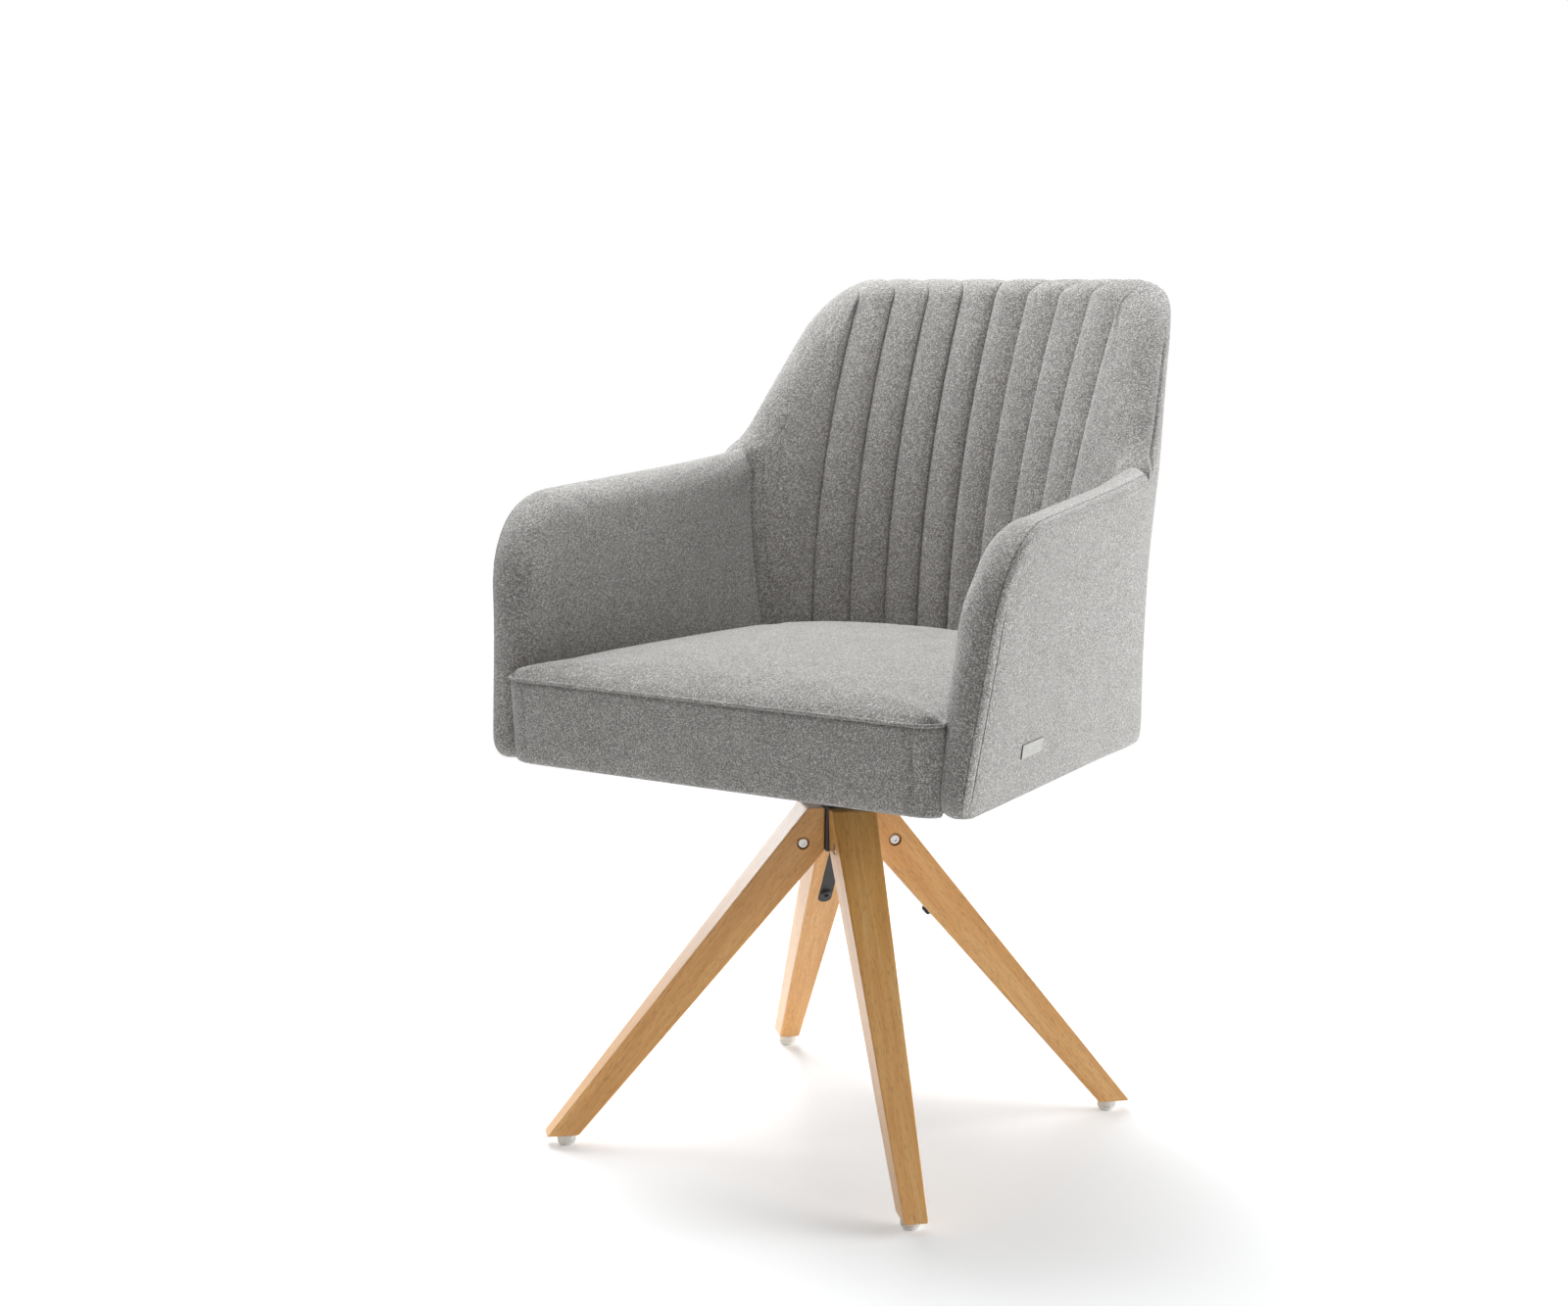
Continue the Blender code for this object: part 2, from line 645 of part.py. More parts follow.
def add_legs(base):
    leg, bar, glide = make_leg(), make_arm_bar(), make_glide()
    screw = headed("arm_screw", SCREW_HEAD_RADIUS, SCREW_HEAD_HEIGHT, SCREW_SHANK_RADIUS, SCREW_LENGTH)
    seat = leg_width(CROSS_BOLT_HEIGHT) / 2 - COUNTERBORE_DEPTH - GAP
    shank = seat + TAB_THICKNESS
    bolt = headed("cross_bolt", CROSS_HEAD_RADIUS, CROSS_HEAD_HEIGHT, CROSS_SHANK_RADIUS, shank)
    nut = make_sleeve_nut(shank)
    head_face = Matrix.Rotation(math.pi / 2, 3, "X")
    nut_face = Matrix.Rotation(-math.pi / 2, 3, "X")
    point, inward = arm_screw_axis()
    screw_turn = inward.to_track_quat("Z", "Y").to_euler()
    for index, where in enumerate(LEG_NAMES):
        station = new_empty(f"station_{where}", base, turn=FIRST_LEG_ANGLE + index * math.pi / 2)
        add_part(f"leg_{where}", leg, BEECH, station)
        add_part(f"hub_arm_{where}", bar, BLACK_STEEL, station)
        add_part(f"arm_screw_{where}", screw, BLACK_STEEL, station, point - inward * GAP, screw_turn)
        bolt_place = cross_bolt_point(seat + 2 * GAP)
        nut_place = cross_bolt_point(-seat - 2 * GAP)
        add_part(f"cross_bolt_{where}", bolt, BRIGHT_STEEL, station, bolt_place, head_face.to_euler())
        add_part(f"sleeve_nut_{where}", nut, BRIGHT_STEEL, station, nut_place, nut_face.to_euler())
        add_part(f"glide_{where}", glide, WHITE_PLASTIC, station, (GLIDE_RADIUS_AT, 0, 0))


# Hub and swivel bearing


def make_hub():
    height = HUB_TOP - HUB_BOTTOM
    centre = (0, 0, (HUB_TOP + HUB_BOTTOM) / 2)
    body = block_mesh("hub", (HUB_SIDE, HUB_SIDE, height), centre, HUB_ROUNDING)
    span = HUB_SIDE + 2 * TAB_LENGTH
    tab_centre = (0, 0, (TAB_LOW + TAB_HIGH) / 2)
    tab_height = TAB_HIGH - TAB_LOW
    tabs = [block_mesh("tabs_x", (span, TAB_THICKNESS, tab_height), tab_centre),
            block_mesh("tabs_y", (TAB_THICKNESS, span, tab_height), tab_centre)]
    joined = combined("hub", body, tabs, "UNION")
    below, above = (0, 0, HUB_BOTTOM - height), (0, 0, HUB_TOP + height)
    cuts = [rod_mesh("bore", HUB_BORE_RADIUS, below, above, TURN_STEPS),
            rod_mesh("recess", HUB_RECESS_RADIUS, below, (0, 0, RECESS_TOP), TURN_STEPS)]
    hole = SLEEVE_RADIUS + GAP
    for index in range(4):
        turn = Matrix.Rotation(index * math.pi / 2, 3, "Z")
        ends = [turn @ cross_bolt_point(side * TAB_THICKNESS) for side in (-1, 1)]
        cuts.append(rod_mesh("tab_hole", hole, *ends))
    return combined("hub", joined, cuts, "DIFFERENCE")


def bush_profile(flange_radius, flange_face, direction):
    """Flanged bush: the flange's seat is at flange_face, its sleeve runs into the hub."""
    bore = SPINDLE_RADIUS + TURN_GAP
    sleeve = bore + BUSH_WALL
    outside = flange_face + direction * BUSH_FLANGE
    inside = flange_face - direction * BUSH_LENGTH
    return [(bore, outside), (flange_radius, outside), (flange_radius, flange_face),
            (sleeve, flange_face), (sleeve, inside), (bore, inside)]


def add_bearing(base, seat):
    add_part("hub", make_hub(), BLACK_STEEL, base, rotation=(0, 0, FIRST_LEG_ANGLE))
    upper_face = HUB_TOP + GAP
    lower_face = RECESS_TOP - GAP
    upper = turned_mesh("upper_bush", bush_profile(BUSH_FLANGE_RADIUS, upper_face, 1))
    lower = turned_mesh("lower_bush", bush_profile(LOW_FLANGE_RADIUS, lower_face, -1))
    add_part("upper_bush", upper, NYLON, base)
    add_part("lower_bush", lower, NYLON, base)
    washer_low = upper_face + BUSH_FLANGE + GAP
    washer_high = washer_low + WASHER_THICKNESS
    bore = SPINDLE_RADIUS + TURN_GAP
    washer = turned_mesh("thrust_washer", ring_profile(bore, BUSH_FLANGE_RADIUS, washer_low, washer_high))
    add_part("thrust_washer", washer, NYLON, base)
    collar_low = washer_high + GAP
    ring_high = lower_face - BUSH_FLANGE - GAP
    ring_low = ring_high - RING_THICKNESS
    groove_high, groove_low = ring_high + GAP, ring_low - GAP
    end = groove_low - RING_THICKNESS
    groove = SPINDLE_RADIUS - RING_GROOVE
    spindle = [(0, COLLAR_TOP), (COLLAR_RADIUS, COLLAR_TOP), (COLLAR_RADIUS, collar_low),
               (SPINDLE_RADIUS, collar_low), (SPINDLE_RADIUS, groove_high), (groove, groove_high),
               (groove, groove_low), (SPINDLE_RADIUS, groove_low), (SPINDLE_RADIUS, end), (0, end)]
    add_part("spindle", turned_mesh("spindle", spindle), DARK_STEEL, seat)
    ring = turned_mesh("retaining_ring", ring_profile(groove + GAP, RING_RADIUS, ring_low, ring_high))
    opening = block_mesh("ring_opening", (RING_RADIUS, RING_OPENING, HUB_SIDE), (RING_RADIUS, 0, ring_low))
    add_part("retaining_ring", combined("retaining_ring", ring, [opening], "DIFFERENCE"), DARK_STEEL, seat)


def rounded_square(side, corner):
    points = []
    inset = side / 2 - corner
    for quarter in range(4):
        for step in range(5):
            turn = math.radians(90 * quarter + 22.5 * step)
            centre = math.radians(90 * quarter + 45)
            x = math.copysign(inset, math.cos(centre)) + corner * math.cos(turn)
            y = math.copysign(inset, math.sin(centre)) + corner * math.sin(turn)
            points.append((x, y))
    return points


def plate_bolt_places():
    return [(x * PLATE_BOLT_SPREAD, y * PLATE_BOLT_SPREAD) for x in (-1, 1) for y in (-1, 1)]


def bolt_holes(low, high):
    radius = PLATE_BOLT_RADIUS + GAP
    return [rod_mesh("bolt_hole", radius, (x, y, low), (x, y, high)) for x, y in plate_bolt_places()]


def add_swivel_plate(seat):
    low = PLATE_TOP - PLATE_THICKNESS
    plate = outline_mesh("swivel_plate", rounded_square(PLATE_SIDE, PLATE_CORNER), low, PLATE_TOP)
    plate = combined("swivel_plate", plate, bolt_holes(low - PLATE_THICKNESS, BOARD_LOW), "DIFFERENCE")
    add_part("swivel_plate", plate, BLACK_STEEL, seat)
    length = BOARD_HIGH - low
    bolt = headed("plate_bolt", PLATE_BOLT_HEAD_RADIUS, PLATE_BOLT_HEAD_HEIGHT, PLATE_BOLT_RADIUS, length)
    for (x, y), where in zip(plate_bolt_places(), ("left_front", "left_rear", "right_front", "right_rear")):
        add_part(f"plate_bolt_{where}", bolt, DARK_STEEL, seat, (x, y, low - GAP))


# Seat


def cushion_front_y(z):
    return -CUSHION_FRONT + CUSHION_FRONT_RAKE * (CUSHION_SEAM_HEIGHT - z)


def seat_outline(z, inset=0.0):
    """Seat's plan at a height, anticlockwise from the front's middle: arms at the sides, back pad behind."""
    front = cushion_front_y(z) + inset
    shares = (-0.90, -0.72, -0.52, -0.30, -0.10)
    sides = [inner_face(s, z) for s in shares]
    lean = (sides[0].x - sides[-1].x) / (sides[0].y - sides[-1].y)

    def side(y):
        past_arm = smooth((flare_end - y) / EDGE_ROUNDING)
        return sides[0].x + lean * (y - sides[0].y) + CUSHION_FLARE * past_arm - SOFT_GAP - inset

    flare_end = arm_front_y(z) + EDGE_ROUNDING
    corner_y = front + CUSHION_CORNER
    corner_x = side(front) - CUSHION_CORNER
    half = [(corner_x * share, front) for share in (0.0, 0.25, 0.5, 0.75)]
    for step in range(5):
        turn = math.radians(-90 + 22.5 * step)
        y = corner_y + CUSHION_CORNER * math.sin(turn)
        half.append((min(corner_x + CUSHION_CORNER * math.cos(turn), side(y)), y))
    settled = max(flare_end, corner_y) + CUSHION_FLARE
    half += [(side(y), y) for y in [settled] + [point.y for point in sides[1:]]]
    behind = CHANNEL_RISE + SOFT_GAP + inset
    reach = side(sides[-1].y) - CHANNEL_RISE
    across = [reach * share for share in (0.96, 0.8, 0.6, 0.4, 0.2, 0.0)]
    half += [(x, inner_back_y(x, z) - behind) for x in across]
    return half + [(-x, y) for x, y in reversed(half[1:-1])]


def loft_mesh(name, loops):
    """Closed solid through loops of equal count, with flat ends."""
    build = bmesh.new()
    rings = [[build.verts.new(point) for point in loop] for loop in loops]
    for low, high in zip(rings, rings[1:]):
        for i in range(len(low)):
            k = (i + 1) % len(low)
            build.faces.new((low[i], low[k], high[k], high[i]))
    build.faces.new(rings[0])
    build.faces.new(rings[-1])
    bmesh.ops.triangulate(build, faces=build.faces, quad_method="FIXED")
    return as_mesh(build, name)


def seam_height(y):
    depth = inner_back_y(0, CUSHION_SEAM_HEIGHT) + CUSHION_FRONT
    return CUSHION_SEAM_HEIGHT + CUSHION_SEAM_RISE * (y + CUSHION_FRONT) / depth


def make_cushion():
    seam = seat_outline(CUSHION_SEAM_HEIGHT)
    middle = Vector((0, sum(y for _, y in seam) / len(seam)))
    waist = (CUSHION_LOW + CUSHION_SEAM_HEIGHT) / 2
    levels = ((CUSHION_LOW, CUSHION_EDGE), (CUSHION_LOW + CUSHION_EDGE, 0.0), (waist, CUSHION_DRAW_IN))
    loops = [[(x, y, z) for x, y in seat_outline(z, inset)] for z, inset in levels]
    for share in (0.0, 0.03, 0.09, 0.18, 0.32, 0.55, 0.85):
        rise = CUSHION_CROWN * (1 - (1 - share) ** CUSHION_CROWN_POWER)
        loop = []
        for x, y in seam:
            x, y = Vector((x, y)).lerp(middle, share)
            loop.append((x, y, seam_height(y) + rise))
        loops.append(loop)
    mesh = loft_mesh("seat_cushion", loops)
    below = COVER_LOW - SEAT_BOARD_THICKNESS
    pocket = outline_mesh("board_pocket", board_outline(GAP), below, BOARD_HIGH + GAP)
    return combined("seat_cushion", mesh, [pocket], "DIFFERENCE")


def board_outline(grow=0.0):
    return seat_outline(BOARD_LOW, SEAT_BOARD_INSET - grow)


def add_seat(seat):
    cover_plan = seat_outline(COVER_LOW, COVER_INSET)
    cover = outline_mesh("dust_cover", cover_plan, COVER_LOW, COVER_LOW + COVER_THICKNESS)
    board = outline_mesh("seat_board", board_outline(), BOARD_LOW, BOARD_HIGH)
    below, above = PLATE_TOP - PLATE_THICKNESS, BOARD_HIGH + PLATE_THICKNESS
    cover = combined("dust_cover", cover, bolt_holes(below, above), "DIFFERENCE")
    board = combined("seat_board", board, bolt_holes(below, above), "DIFFERENCE")
    add_part("dust_cover", cover, LINING, seat)
    add_part("seat_board", board, PLYWOOD, seat)
    add_part("seat_cushion", make_cushion(), FABRIC, seat)


# Arms


def arm_place(along, up):
    """s and height for a flat place on the arm, whose front top corner is round."""
    if along < ARM_CORNER and up > ARM_HEIGHT - ARM_CORNER:
        a = 1 - along / ARM_CORNER
        b = 1 - (ARM_HEIGHT - up) / ARM_CORNER
        along = ARM_CORNER * (1 - a * math.sqrt(1 - b * b / 2))
        up = ARM_HEIGHT - ARM_CORNER * (1 - b * math.sqrt(1 - a * a / 2))
    share = along / ARM_LENGTH
    top = mix(ARM_TOP_FRONT, ARM_TOP_REAR, share)
    return share - 1, mix(WALL_LOW, top, up / ARM_HEIGHT)


def arm_lengths():
    reach = side_y(LABEL_LOW) - arm_front_y(LABEL_LOW)
    label_end = (LABEL_LENGTH - LABEL_FRONT - arm_front_y(LABEL_LOW)) / reach * ARM_LENGTH
    return [PANEL_EDGE, ARM_CORNER * 0.55, ARM_CORNER, label_end + LABEL_HEIGHT, ARM_LENGTH]


def arm_heights():
    shares = [ARM_HEIGHT * share for share in (0.01, 0.12, 0.25, 0.44)]
    return shares + [ARM_HEIGHT - edge for edge in (ARM_CORNER, ARM_CORNER * 0.55, PANEL_EDGE)]


def make_arm_pad():
    rim = [0.0, EDGE_ROUNDING * 0.16, EDGE_ROUNDING * 0.48, EDGE_ROUNDING, EDGE_ROUNDING + SEAM_STEP]
    columns = rim + arm_lengths()[1:-1] + [ARM_LENGTH - SOFT_GAP]
    rows = [0.0] + arm_heights()[1:-1] + [ARM_HEIGHT - edge for edge in reversed(rim)]

    def edge_of(along, up):
        return min(along, ARM_HEIGHT - up)

    def outer(along, up):
        s, z = arm_place(along, up)
        edge = edge_of(along, up)
        if edge > EDGE_ROUNDING:
            return wall_point(s, z, FOAM_FACE)
        return wall_point(s, z, wall_thickness(s, z) / 2 * (1 - rim_fullness(edge)))

    def inner(along, up):
        s, z = arm_place(along, up)
        fullness = rim_fullness(edge_of(along, up))
        return wall_point(s, z, wall_thickness(s, z) / 2 * (1 + fullness))

    return slab_mesh("arm_pad", columns, rows, outer, inner)


def make_arm_core():
    def face(depth):
        return lambda along, up: wall_point(*arm_place(along, up), depth)

    columns = arm_lengths()
    columns[-1] -= BOARD_THICKNESS
    return slab_mesh("arm_core", columns, arm_heights(), face(BOARD_FACE), face(BOARD_BACK))


# Back


def back_x(column, z):
    """X of a column of the back: whole numbers are the sewn lines, past them comes the wing."""
    pitch = CHANNEL_PITCH + CHANNEL_PITCH_SLOPE * (z - BACK_DATUM)
    last = CHANNELS_PER_SIDE * pitch
    edge = seam_x(z)
    beyond = column - CHANNELS_PER_SIDE
    if beyond <= 0:
        return column * pitch
    if beyond <= 1:
        return mix(last, edge - PANEL_EDGE, beyond)
    return edge - (2 - beyond) * PANEL_EDGE


def back_s(column, z):
    return 1 - back_x(column, z) / seam_x(z)


def back_top(column):
    """Height of the back's top at a column, round at the wing's corner."""
    from_edge = seam_x(BACK_TOP) - back_x(column, BACK_TOP)
    left = max(0.0, TOP_CORNER - from_edge)
    return BACK_TOP - (TOP_CORNER - math.sqrt(TOP_CORNER**2 - left**2))


def channel_fullness(column):
    beyond = column - CHANNELS_PER_SIDE
    if beyond >= 0:
        return smooth(beyond * 1.5) * smooth((2 - beyond) * 2)
    off_middle = 2 * (column % 1) - 1
    return math.sqrt(1 - off_middle * off_middle)


def back_rows():
    """Rows of the back: those of the arm's rear end, then shares of the way up beside the wing."""
    low = [arm_place(ARM_LENGTH, up)[1] for up in arm_heights()] + [ARM_TOP_REAR]
    return [("height", z) for z in low] + [("share", share) for share in (0.19, 0.40, 0.62)]


def back_z(row, column):
    """Height of a row: above the floor, as a share between arm and rim, or below the local top."""
    kind, value = row
    if kind == "height":
        return value
    top = back_top(column)
    return top - value if kind == "below top" else mix(ARM_TOP_REAR, top - PANEL_EDGE, value)


def back_point(column, z, depth):
    return wall_point(back_s(column, z), z, depth)


def board_columns():
    """Columns that the back's board and panels bend at, from the wing to the middle."""
    count = 2 * (CHANNELS_PER_SIDE + 1)
    return [half / 2 for half in range(count, -1, -1)]


def bent_with_board(column, z, depth):
    """Point behind the foam: straight between the board's columns."""
    columns = board_columns()
    if column >= columns[0]:
        return back_point(column, z, depth)
    for high, low in zip(columns, columns[1:]):
        if column >= low:
            break
    share = (back_x(column, z) - back_x(low, z)) / (back_x(high, z) - back_x(low, z))
    return back_point(low, z, depth).lerp(back_point(high, z, depth), share)


def face_of_back(depth):
    return lambda column, row: back_point(column, back_z(row, column), depth)


def make_back_board():
    rows = back_rows() + [("below top", PANEL_EDGE + BOARD_GAP)]
    faces = face_of_back(BOARD_FACE), face_of_back(BOARD_BACK)
    return slab_mesh("back_board", board_columns(), rows, *faces, halved=True)


def make_outer_back():
    rows = back_rows() + [("below top", PANEL_EDGE)]
    lines = [column for column in board_columns() if column < PANEL_SPLIT]
    columns = [PANEL_SPLIT - SOFT_GAP / CHANNEL_PITCH] + lines
    return slab_mesh("outer_back", columns, rows, face_of_back(0), face_of_back(PANEL_THICKNESS), halved=True)


def make_back_pad():
    rim = [0.0, EDGE_ROUNDING * 0.16, EDGE_ROUNDING * 0.48, EDGE_ROUNDING, EDGE_ROUNDING + SEAM_STEP]
    wing = [CHANNELS_PER_SIDE + 2 - edge / PANEL_EDGE for edge in rim]
    scallop = [line - share for line in range(CHANNELS_PER_SIDE, 0, -1) for share in (0.2, 0.8, 1.0)]
    columns = wing + board_columns()[1:3] + scallop
    top_rows = [("below top", edge) for edge in reversed(rim)]
    rows = [("height", WALL_LOW)] + back_rows()[1:] + top_rows
    free_from = ARM_TOP_REAR - EDGE_ROUNDING
    free_at = free_from + 2 * EDGE_ROUNDING

    def pad_z(column, row):
        if row[0] != "below top":
            return back_z(row, column)
        dip = CHANNEL_TOP_DIP * (1 - channel_fullness(column))
        return back_z(row, column) - dip * max(0.0, 1 - row[1] / EDGE_ROUNDING)

    def edge_of(column, row, z):
        joined = 1 - smooth((z - free_from) / (free_at - free_from))
        from_wing = seam_x(z) - back_x(column, z) + joined * PANEL_EDGE
        return min(from_wing, row[1] if row[0] == "below top" else back_top(column) - z)

    def outer(column, row):
        z = pad_z(column, row)
        s = back_s(column, z)
        edge = edge_of(column, row, z)
        if edge <= EDGE_ROUNDING + SEAM_STEP / 2:
            return back_point(column, z, wall_thickness(s, z) / 2 * (1 - rim_fullness(edge)))
        return bent_with_board(column, z, FOAM_FACE)

    def inner(column, row):
        z = pad_z(column, row)
        s = back_s(column, z)
        fullness = rim_fullness(edge_of(column, row, z))
        rise = CHANNEL_RISE * channel_fullness(column) * fullness
        return back_point(column, z, wall_thickness(s, z) / 2 * (1 + fullness) + rise)

    return slab_mesh("back_pad", columns, rows, outer, inner, halved=True)


def make_side_panel():
    """Outer side from the arm's seam round the rear corner, and up beside the wing."""
    arm = [("arm", along) for along in arm_lengths()]
    corner = [("back", column) for column in board_columns() if column >= PANEL_SPLIT]
    lower = arm_heights()
    upper = back_rows()[len(lower):] + [("below top", PANEL_EDGE)]
    rows = [("low", up) for up in lower] + [("high", row) for row in upper]

    def place(column, row):
        kind, at = column
        band, value = row
        if kind == "arm":
            return arm_place(at, value)
        if band == "high":
            z = back_z(value, at)
        else:
            z = arm_place(ARM_LENGTH, value)[1]
        return back_s(at, z), z

    def face(depth):
        return lambda column, row: wall_point(*place(column, row), depth)

    def keep(column, row):
        return column[0] == "back" or row in rows[:len(lower) - 1]

    return slab_mesh("side_panel", arm + corner, rows, face(0), face(PANEL_THICKNESS), keep)


def make_label():
    def face(depth):
        return lambda y, z: wall_point((y - side_y(z)) / (side_y(z) - arm_front_y(z)), z, depth)

    columns = [-LABEL_FRONT, LABEL_LENGTH - LABEL_FRONT]
    rows = [LABEL_LOW, LABEL_LOW + LABEL_HEIGHT]
    return slab_mesh("label_plate", columns, rows, face(-GAP - LABEL_THICKNESS), face(-GAP))


def add_shell(seat):
    for name, make, material in (("arm_pad", make_arm_pad, FABRIC), ("arm_core", make_arm_core, PLYWOOD),
                                 ("side_panel", make_side_panel, FABRIC)):
        mesh = make()
        add_part(f"{name}_right", mesh, material, seat)
        add_part(f"{name}_left", mirrored(mesh, name), material, seat)
    add_part("back_board", make_back_board(), PLYWOOD, seat)
    add_part("outer_back", make_outer_back(), FABRIC, seat)
    add_part("back_pad", make_back_pad(), FABRIC, seat)
    add_part("label_plate", make_label(), BRIGHT_STEEL, seat)


clear_scene()
PARTS = new_collection("swivel_armchair")
CUTTERS = new_collection("cutters")
FABRIC = new_material("grey woven fabric", (0.36, 0.35, 0.33), 0.95)
BEECH = new_material("oiled beech", (0.52, 0.30, 0.11), 0.45)
PLYWOOD = new_material("plywood", (0.60, 0.45, 0.28), 0.7)
LINING = new_material("black lining", (0.02, 0.02, 0.02), 0.9)
BLACK_STEEL = new_material("black steel", (0.02, 0.02, 0.022), 0.45, 0.4)
DARK_STEEL = new_material("zinc steel", (0.45, 0.45, 0.44), 0.4, 1.0)
BRIGHT_STEEL = new_material("bright steel", (0.72, 0.71, 0.68), 0.28, 1.0)
WHITE_PLASTIC = new_material("white plastic", (0.85, 0.85, 0.83), 0.4)
NYLON = new_material("nylon", (0.70, 0.68, 0.62), 0.5)

AXIS_Y = (CUSHION_FRONT - outer_back_y(BACK_TOP - EDGE_ROUNDING)) / 2
CHAIR = new_empty("swivel_axis", location=(0, AXIS_Y, 0))
BASE = new_empty("base", CHAIR)
SEAT = new_empty("seat", CHAIR)
add_legs(BASE)
add_bearing(BASE, SEAT)
add_swivel_plate(SEAT)
add_seat(SEAT)
add_shell(SEAT)
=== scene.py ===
# %% [markdown]
# # Swivel armchair on four wooden legs
# A padded bucket seat turns on a black steel hub, and the hub sits between four beech legs. The CAD
# model gives every piece its size, its place and the swivel joint. This script gives each piece its
# looks: soft upholstery over the foam, woven cloth, oiled wood, steel and plastic.

# %% Frame
import functools
import json
import math

import bmesh
import bpy
import numpy as np
from mathutils import Matrix, Vector


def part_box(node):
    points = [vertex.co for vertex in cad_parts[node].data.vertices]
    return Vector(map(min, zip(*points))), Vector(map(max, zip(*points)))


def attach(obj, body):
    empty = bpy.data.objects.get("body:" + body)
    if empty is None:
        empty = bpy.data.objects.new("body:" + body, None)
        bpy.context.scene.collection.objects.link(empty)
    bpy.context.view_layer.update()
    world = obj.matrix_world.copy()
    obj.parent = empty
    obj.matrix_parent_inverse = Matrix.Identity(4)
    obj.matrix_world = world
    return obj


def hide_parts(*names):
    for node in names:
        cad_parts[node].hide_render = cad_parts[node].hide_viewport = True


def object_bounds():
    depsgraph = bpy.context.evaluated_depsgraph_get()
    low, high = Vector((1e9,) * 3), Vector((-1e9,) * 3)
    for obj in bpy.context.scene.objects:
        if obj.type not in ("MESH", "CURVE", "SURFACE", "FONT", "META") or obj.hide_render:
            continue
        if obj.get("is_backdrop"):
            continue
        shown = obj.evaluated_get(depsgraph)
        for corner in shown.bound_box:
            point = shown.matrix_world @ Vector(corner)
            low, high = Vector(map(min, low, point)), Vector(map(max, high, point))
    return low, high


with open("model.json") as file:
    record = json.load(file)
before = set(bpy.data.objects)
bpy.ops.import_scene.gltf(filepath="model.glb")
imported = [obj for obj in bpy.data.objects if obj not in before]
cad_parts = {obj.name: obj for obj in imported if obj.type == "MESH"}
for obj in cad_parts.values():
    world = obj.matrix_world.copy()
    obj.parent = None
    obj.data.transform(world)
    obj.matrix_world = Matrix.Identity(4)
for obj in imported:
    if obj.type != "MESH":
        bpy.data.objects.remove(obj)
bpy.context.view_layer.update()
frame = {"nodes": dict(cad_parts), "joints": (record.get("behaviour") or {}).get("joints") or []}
AXIS_Y = frame["joints"][0]["pos_m"][1]
scene = bpy.context.scene
scene.view_settings.view_transform = "Standard"

# %% [markdown]
# ## Camera
# The photograph looks down a little on the chair's front right corner. Its place, angle and focal
# length were worked out from the four equal legs. A camera's own axes are right, up and backwards,
# so the turn is written as those three directions.

# %% Camera
CAMERA_PLACE = Vector((1.3056, AXIS_Y - 2.0756, 0.8567))
AZIMUTH, PITCH, ROLL = (math.radians(angle) for angle in (33.63, 8.39, 0.21))
FOCAL_OVER_WIDTH = 2509 / 1600
SENSOR_WIDTH = 36


def camera_axes():
    ahead = Vector((-math.sin(AZIMUTH) * math.cos(PITCH), math.cos(AZIMUTH) * math.cos(PITCH),
                    -math.sin(PITCH)))
    level = Vector((math.cos(AZIMUTH), math.sin(AZIMUTH), 0))
    upright = level.cross(ahead)
    right = level * math.cos(ROLL) + upright * math.sin(ROLL)
    up = upright * math.cos(ROLL) - level * math.sin(ROLL)
    return Matrix((right, up, -ahead)).transposed().to_4x4()


lens = bpy.data.cameras.new("camera")
lens.sensor_fit = "HORIZONTAL"
lens.sensor_width = SENSOR_WIDTH
lens.lens = FOCAL_OVER_WIDTH * SENSOR_WIDTH
camera = bpy.data.objects.new("camera", lens)
camera.matrix_world = Matrix.Translation(CAMERA_PLACE) @ camera_axes()
scene.collection.objects.link(camera)
scene.camera = camera
print("camera", round(lens.lens, 2), "mm")

# %% [markdown]
# ## Nodes as expressions
# Materials and Geometry Nodes are both trees of nodes. One small class makes a node from its type, its
# settings and its sockets' values or links. A second one wraps a socket, so that sums on values can be
# written as Python, and each sign adds the Math node for it.

# %% Nodes as expressions


class Field:
    """A value that changes over a surface. Arithmetic on it adds Math nodes."""

    def __init__(self, tree, socket):
        self.tree = tree
        self.socket = socket

    def maths(self, operation, *terms):
        return self.tree.field("ShaderNodeMath", {"operation": operation}, *terms)

    def __add__(self, other):
        return self.maths("ADD", self, other)

    def __sub__(self, other):
        return self.maths("SUBTRACT", self, other)

    def __rsub__(self, other):
        return self.maths("SUBTRACT", other, self)

    def __mul__(self, other):
        return self.maths("MULTIPLY", self, other)

    def least(self, other):
        return self.maths("MINIMUM", self, other)

    __radd__ = __add__
    __rmul__ = __mul__


